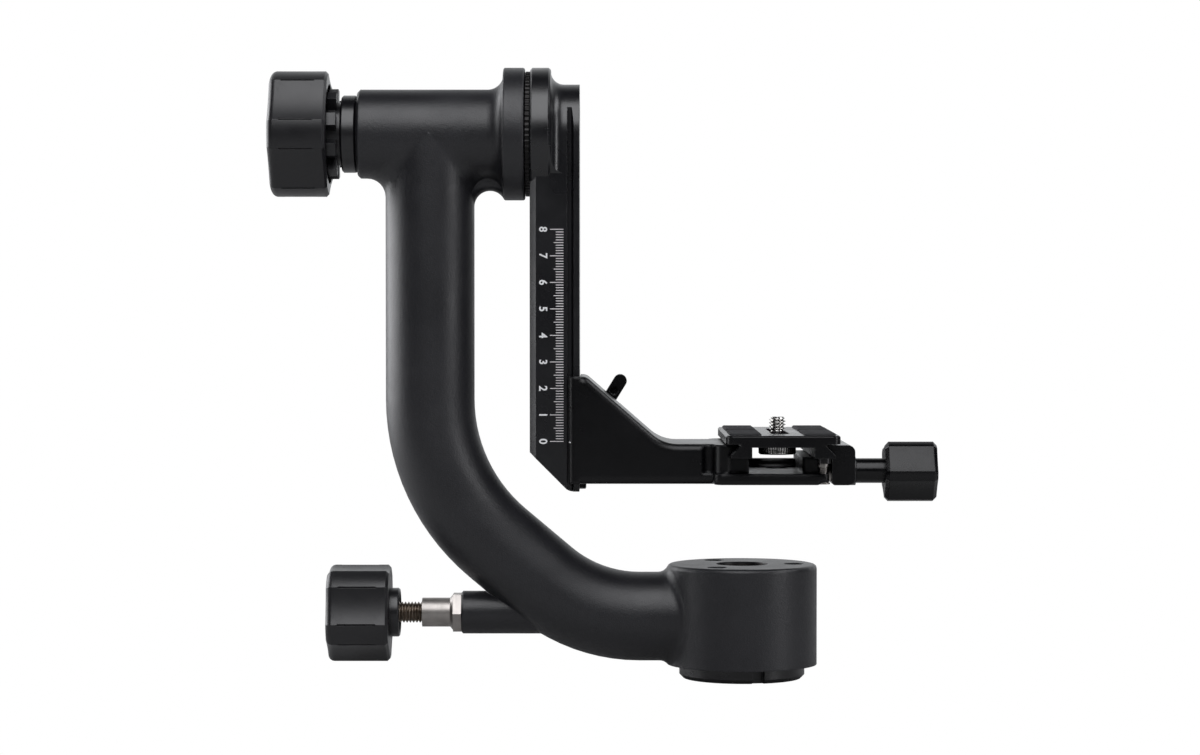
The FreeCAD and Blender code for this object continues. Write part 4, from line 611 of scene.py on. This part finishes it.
def frictionTeeth():
    # Circles about the tilt axis, the outer ones drawn in between the teeth by a clipped cosine.
    s = frictionRing
    angle = np.linspace(0, tau, s["teeth"] * s["samples"], endpoint=False)
    wave = np.clip(s["sharpness"] * np.cos(angle * s["teeth"]) + 0.5, 0.0, 1.0)
    outer = s["outer"] - s["depth"] * (1.0 - wave)
    inner = np.full_like(angle, s["inner"])
    cut, bevel = outer - s["bevel"], s["bevel"]
    rows = [(s["left"], inner), (s["left"], cut), (s["left"] + bevel, outer),
            (s["right"] - bevel, outer), (s["right"], cut), (s["right"], inner)]
    rings = np.stack([np.stack([np.full_like(angle, x), r * np.cos(angle), s["axisZ"] + r * np.sin(angle)],
                               axis=-1) for x, r in rows])
    ring = makePiece("frictionRing", *loopStack(rings), "swing", materials["dark_ring"])
    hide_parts("tilt_friction_disc")


panScrewThread()
cameraScrewPieces()
scaleMarks()
indexMark()
ribbedPads()
coilSpring()
frictionTeeth()
print("pieces made")


# Stage, light and camera

floorSettings = dict(half=6.0, z=-0.0006, grain=40.0, dark=(0.38, 0.38, 0.38), light=(0.42, 0.42, 0.42))


def stageFloor():
    # One square, in metres, a little below the base.
    s = floorSettings
    half, z = s["half"], s["z"]
    mesh = bpy.data.meshes.new("floor")
    corners = [(-half, -half, z), (half, -half, z), (half, half, z), (-half, half, z)]
    mesh.from_pydata(corners, [], [(0, 1, 2, 3)])
    floor = bpy.data.objects.new("floor", mesh)
    bpy.context.scene.collection.objects.link(floor)
    material, tree, shader = startMaterial("floorPaper")
    shader.inputs["Roughness"].default_value = 0.9
    paper = addNoise(tree, tree.nodes.new("ShaderNodeTexCoord").outputs["Object"], s["grain"], 4.0)
    tree.links.new(mixColour(tree, paper, s["dark"], s["light"]), shader.inputs["Base Color"])
    glow = tree.nodes.new("ShaderNodeEmission")
    glow.inputs["Strength"].default_value = 1.0
    path = tree.nodes.new("ShaderNodeLightPath")
    mix = tree.nodes.new("ShaderNodeMixShader")
    tree.links.new(path.outputs["Is Camera Ray"], mix.inputs[0])
    tree.links.new(shader.outputs[0], mix.inputs[1])
    tree.links.new(glow.outputs[0], mix.inputs[2])
    tree.links.new(mix.outputs[0], tree.nodes["Material Output"].inputs["Surface"])
    mesh.materials.append(material)


def stageWorld():
    world = bpy.data.worlds.new("studio")
    bpy.context.scene.world = world
    world.use_nodes = True
    tree = world.node_tree
    background = tree.nodes["Background"]
    background.inputs["Color"].default_value = (0.96, 0.98, 1.0, 1.0)
    # The far side of the room is lit paper, and the near side is dim.
    parts = tree.nodes.new("ShaderNodeSeparateXYZ")
    tree.links.new(tree.nodes.new("ShaderNodeTexCoord").outputs["Generated"], parts.inputs[0])
    level = addRange(tree, parts.outputs["Y"], 0.45, 0.95, 0.004, 0.95)
    tree.links.new(level, background.inputs["Strength"])
    white = tree.nodes.new("ShaderNodeBackground")
    white.inputs["Color"].default_value = (1.0, 1.0, 1.0, 1.0)
    white.inputs["Strength"].default_value = 1.0
    path = tree.nodes.new("ShaderNodeLightPath")
    mix = tree.nodes.new("ShaderNodeMixShader")
    tree.links.new(path.outputs["Is Camera Ray"], mix.inputs[0])
    tree.links.new(background.outputs[0], mix.inputs[1])
    tree.links.new(white.outputs[0], mix.inputs[2])
    tree.links.new(mix.outputs[0], tree.nodes["World Output"].inputs["Surface"])


lamps = [
    # name, place, target, width, height, power in watts, colour
    ("topBox", (-0.10, -0.92, 1.22), (-0.05, 0.0, 0.14), 0.9, 1.40, 16.0, (0.97, 0.975, 1.0)),
    ("leftBox", (-1.15, 0.38, 0.35), (-0.10, 0.0, 0.14), 1.15, 1.2, 20.0, (0.97, 0.975, 1.0)),
    ("highBox", (0.85, -0.08, 1.05), (0.0, 0.0, 0.12), 0.6, 0.6, 5.0, (0.97, 0.975, 1.0)),
    ("rightBox", (1.15, -0.68, 0.40), (-0.02, 0.0, 0.12), 0.30, 1.1, 5.2, (0.98, 0.98, 1.0)),
]


def stageLamps():
    for name, place, target, width, height, power, colour in lamps:
        lamp = bpy.data.lights.new(name, "AREA")
        lamp.shape = "RECTANGLE"
        lamp.size, lamp.size_y = width, height
        lamp.energy = power
        lamp.color = colour
        thing = bpy.data.objects.new(name, lamp)
        ahead = (np.array(target) - np.array(place))
        back = -ahead / np.linalg.norm(ahead)
        side = np.cross((0.0, 0.0, 1.0), back)
        side = side / np.linalg.norm(side)
        up = np.cross(back, side)
        matrix = np.eye(4)
        matrix[:3, 0], matrix[:3, 1], matrix[:3, 2], matrix[:3, 3] = side, up, back, place
        thing.matrix_world = Matrix(matrix.tolist())
        bpy.context.scene.collection.objects.link(thing)


cameraSettings = dict(place=(-53.3, -1207.0, 142.9), pitch=1.32, lens=94.5, shiftX=-0.0025)


def stageCamera():
    s = cameraSettings
    data = bpy.data.cameras.new("camera")
    data.lens = s["lens"]
    data.sensor_width = 36.0
    data.shift_x = s["shiftX"]
    data.clip_end = 100.0
    camera = bpy.data.objects.new("camera", data)
    camera.location = [value * mm for value in s["place"]]
    camera.rotation_euler = (radians(90.0 - s["pitch"]), 0.0, 0.0)
    bpy.context.scene.collection.objects.link(camera)
    bpy.context.scene.camera = camera


stageFloor()
stageWorld()
stageLamps()
stageCamera()
bpy.context.scene.view_settings.view_transform = "Standard"
print("stage ready")
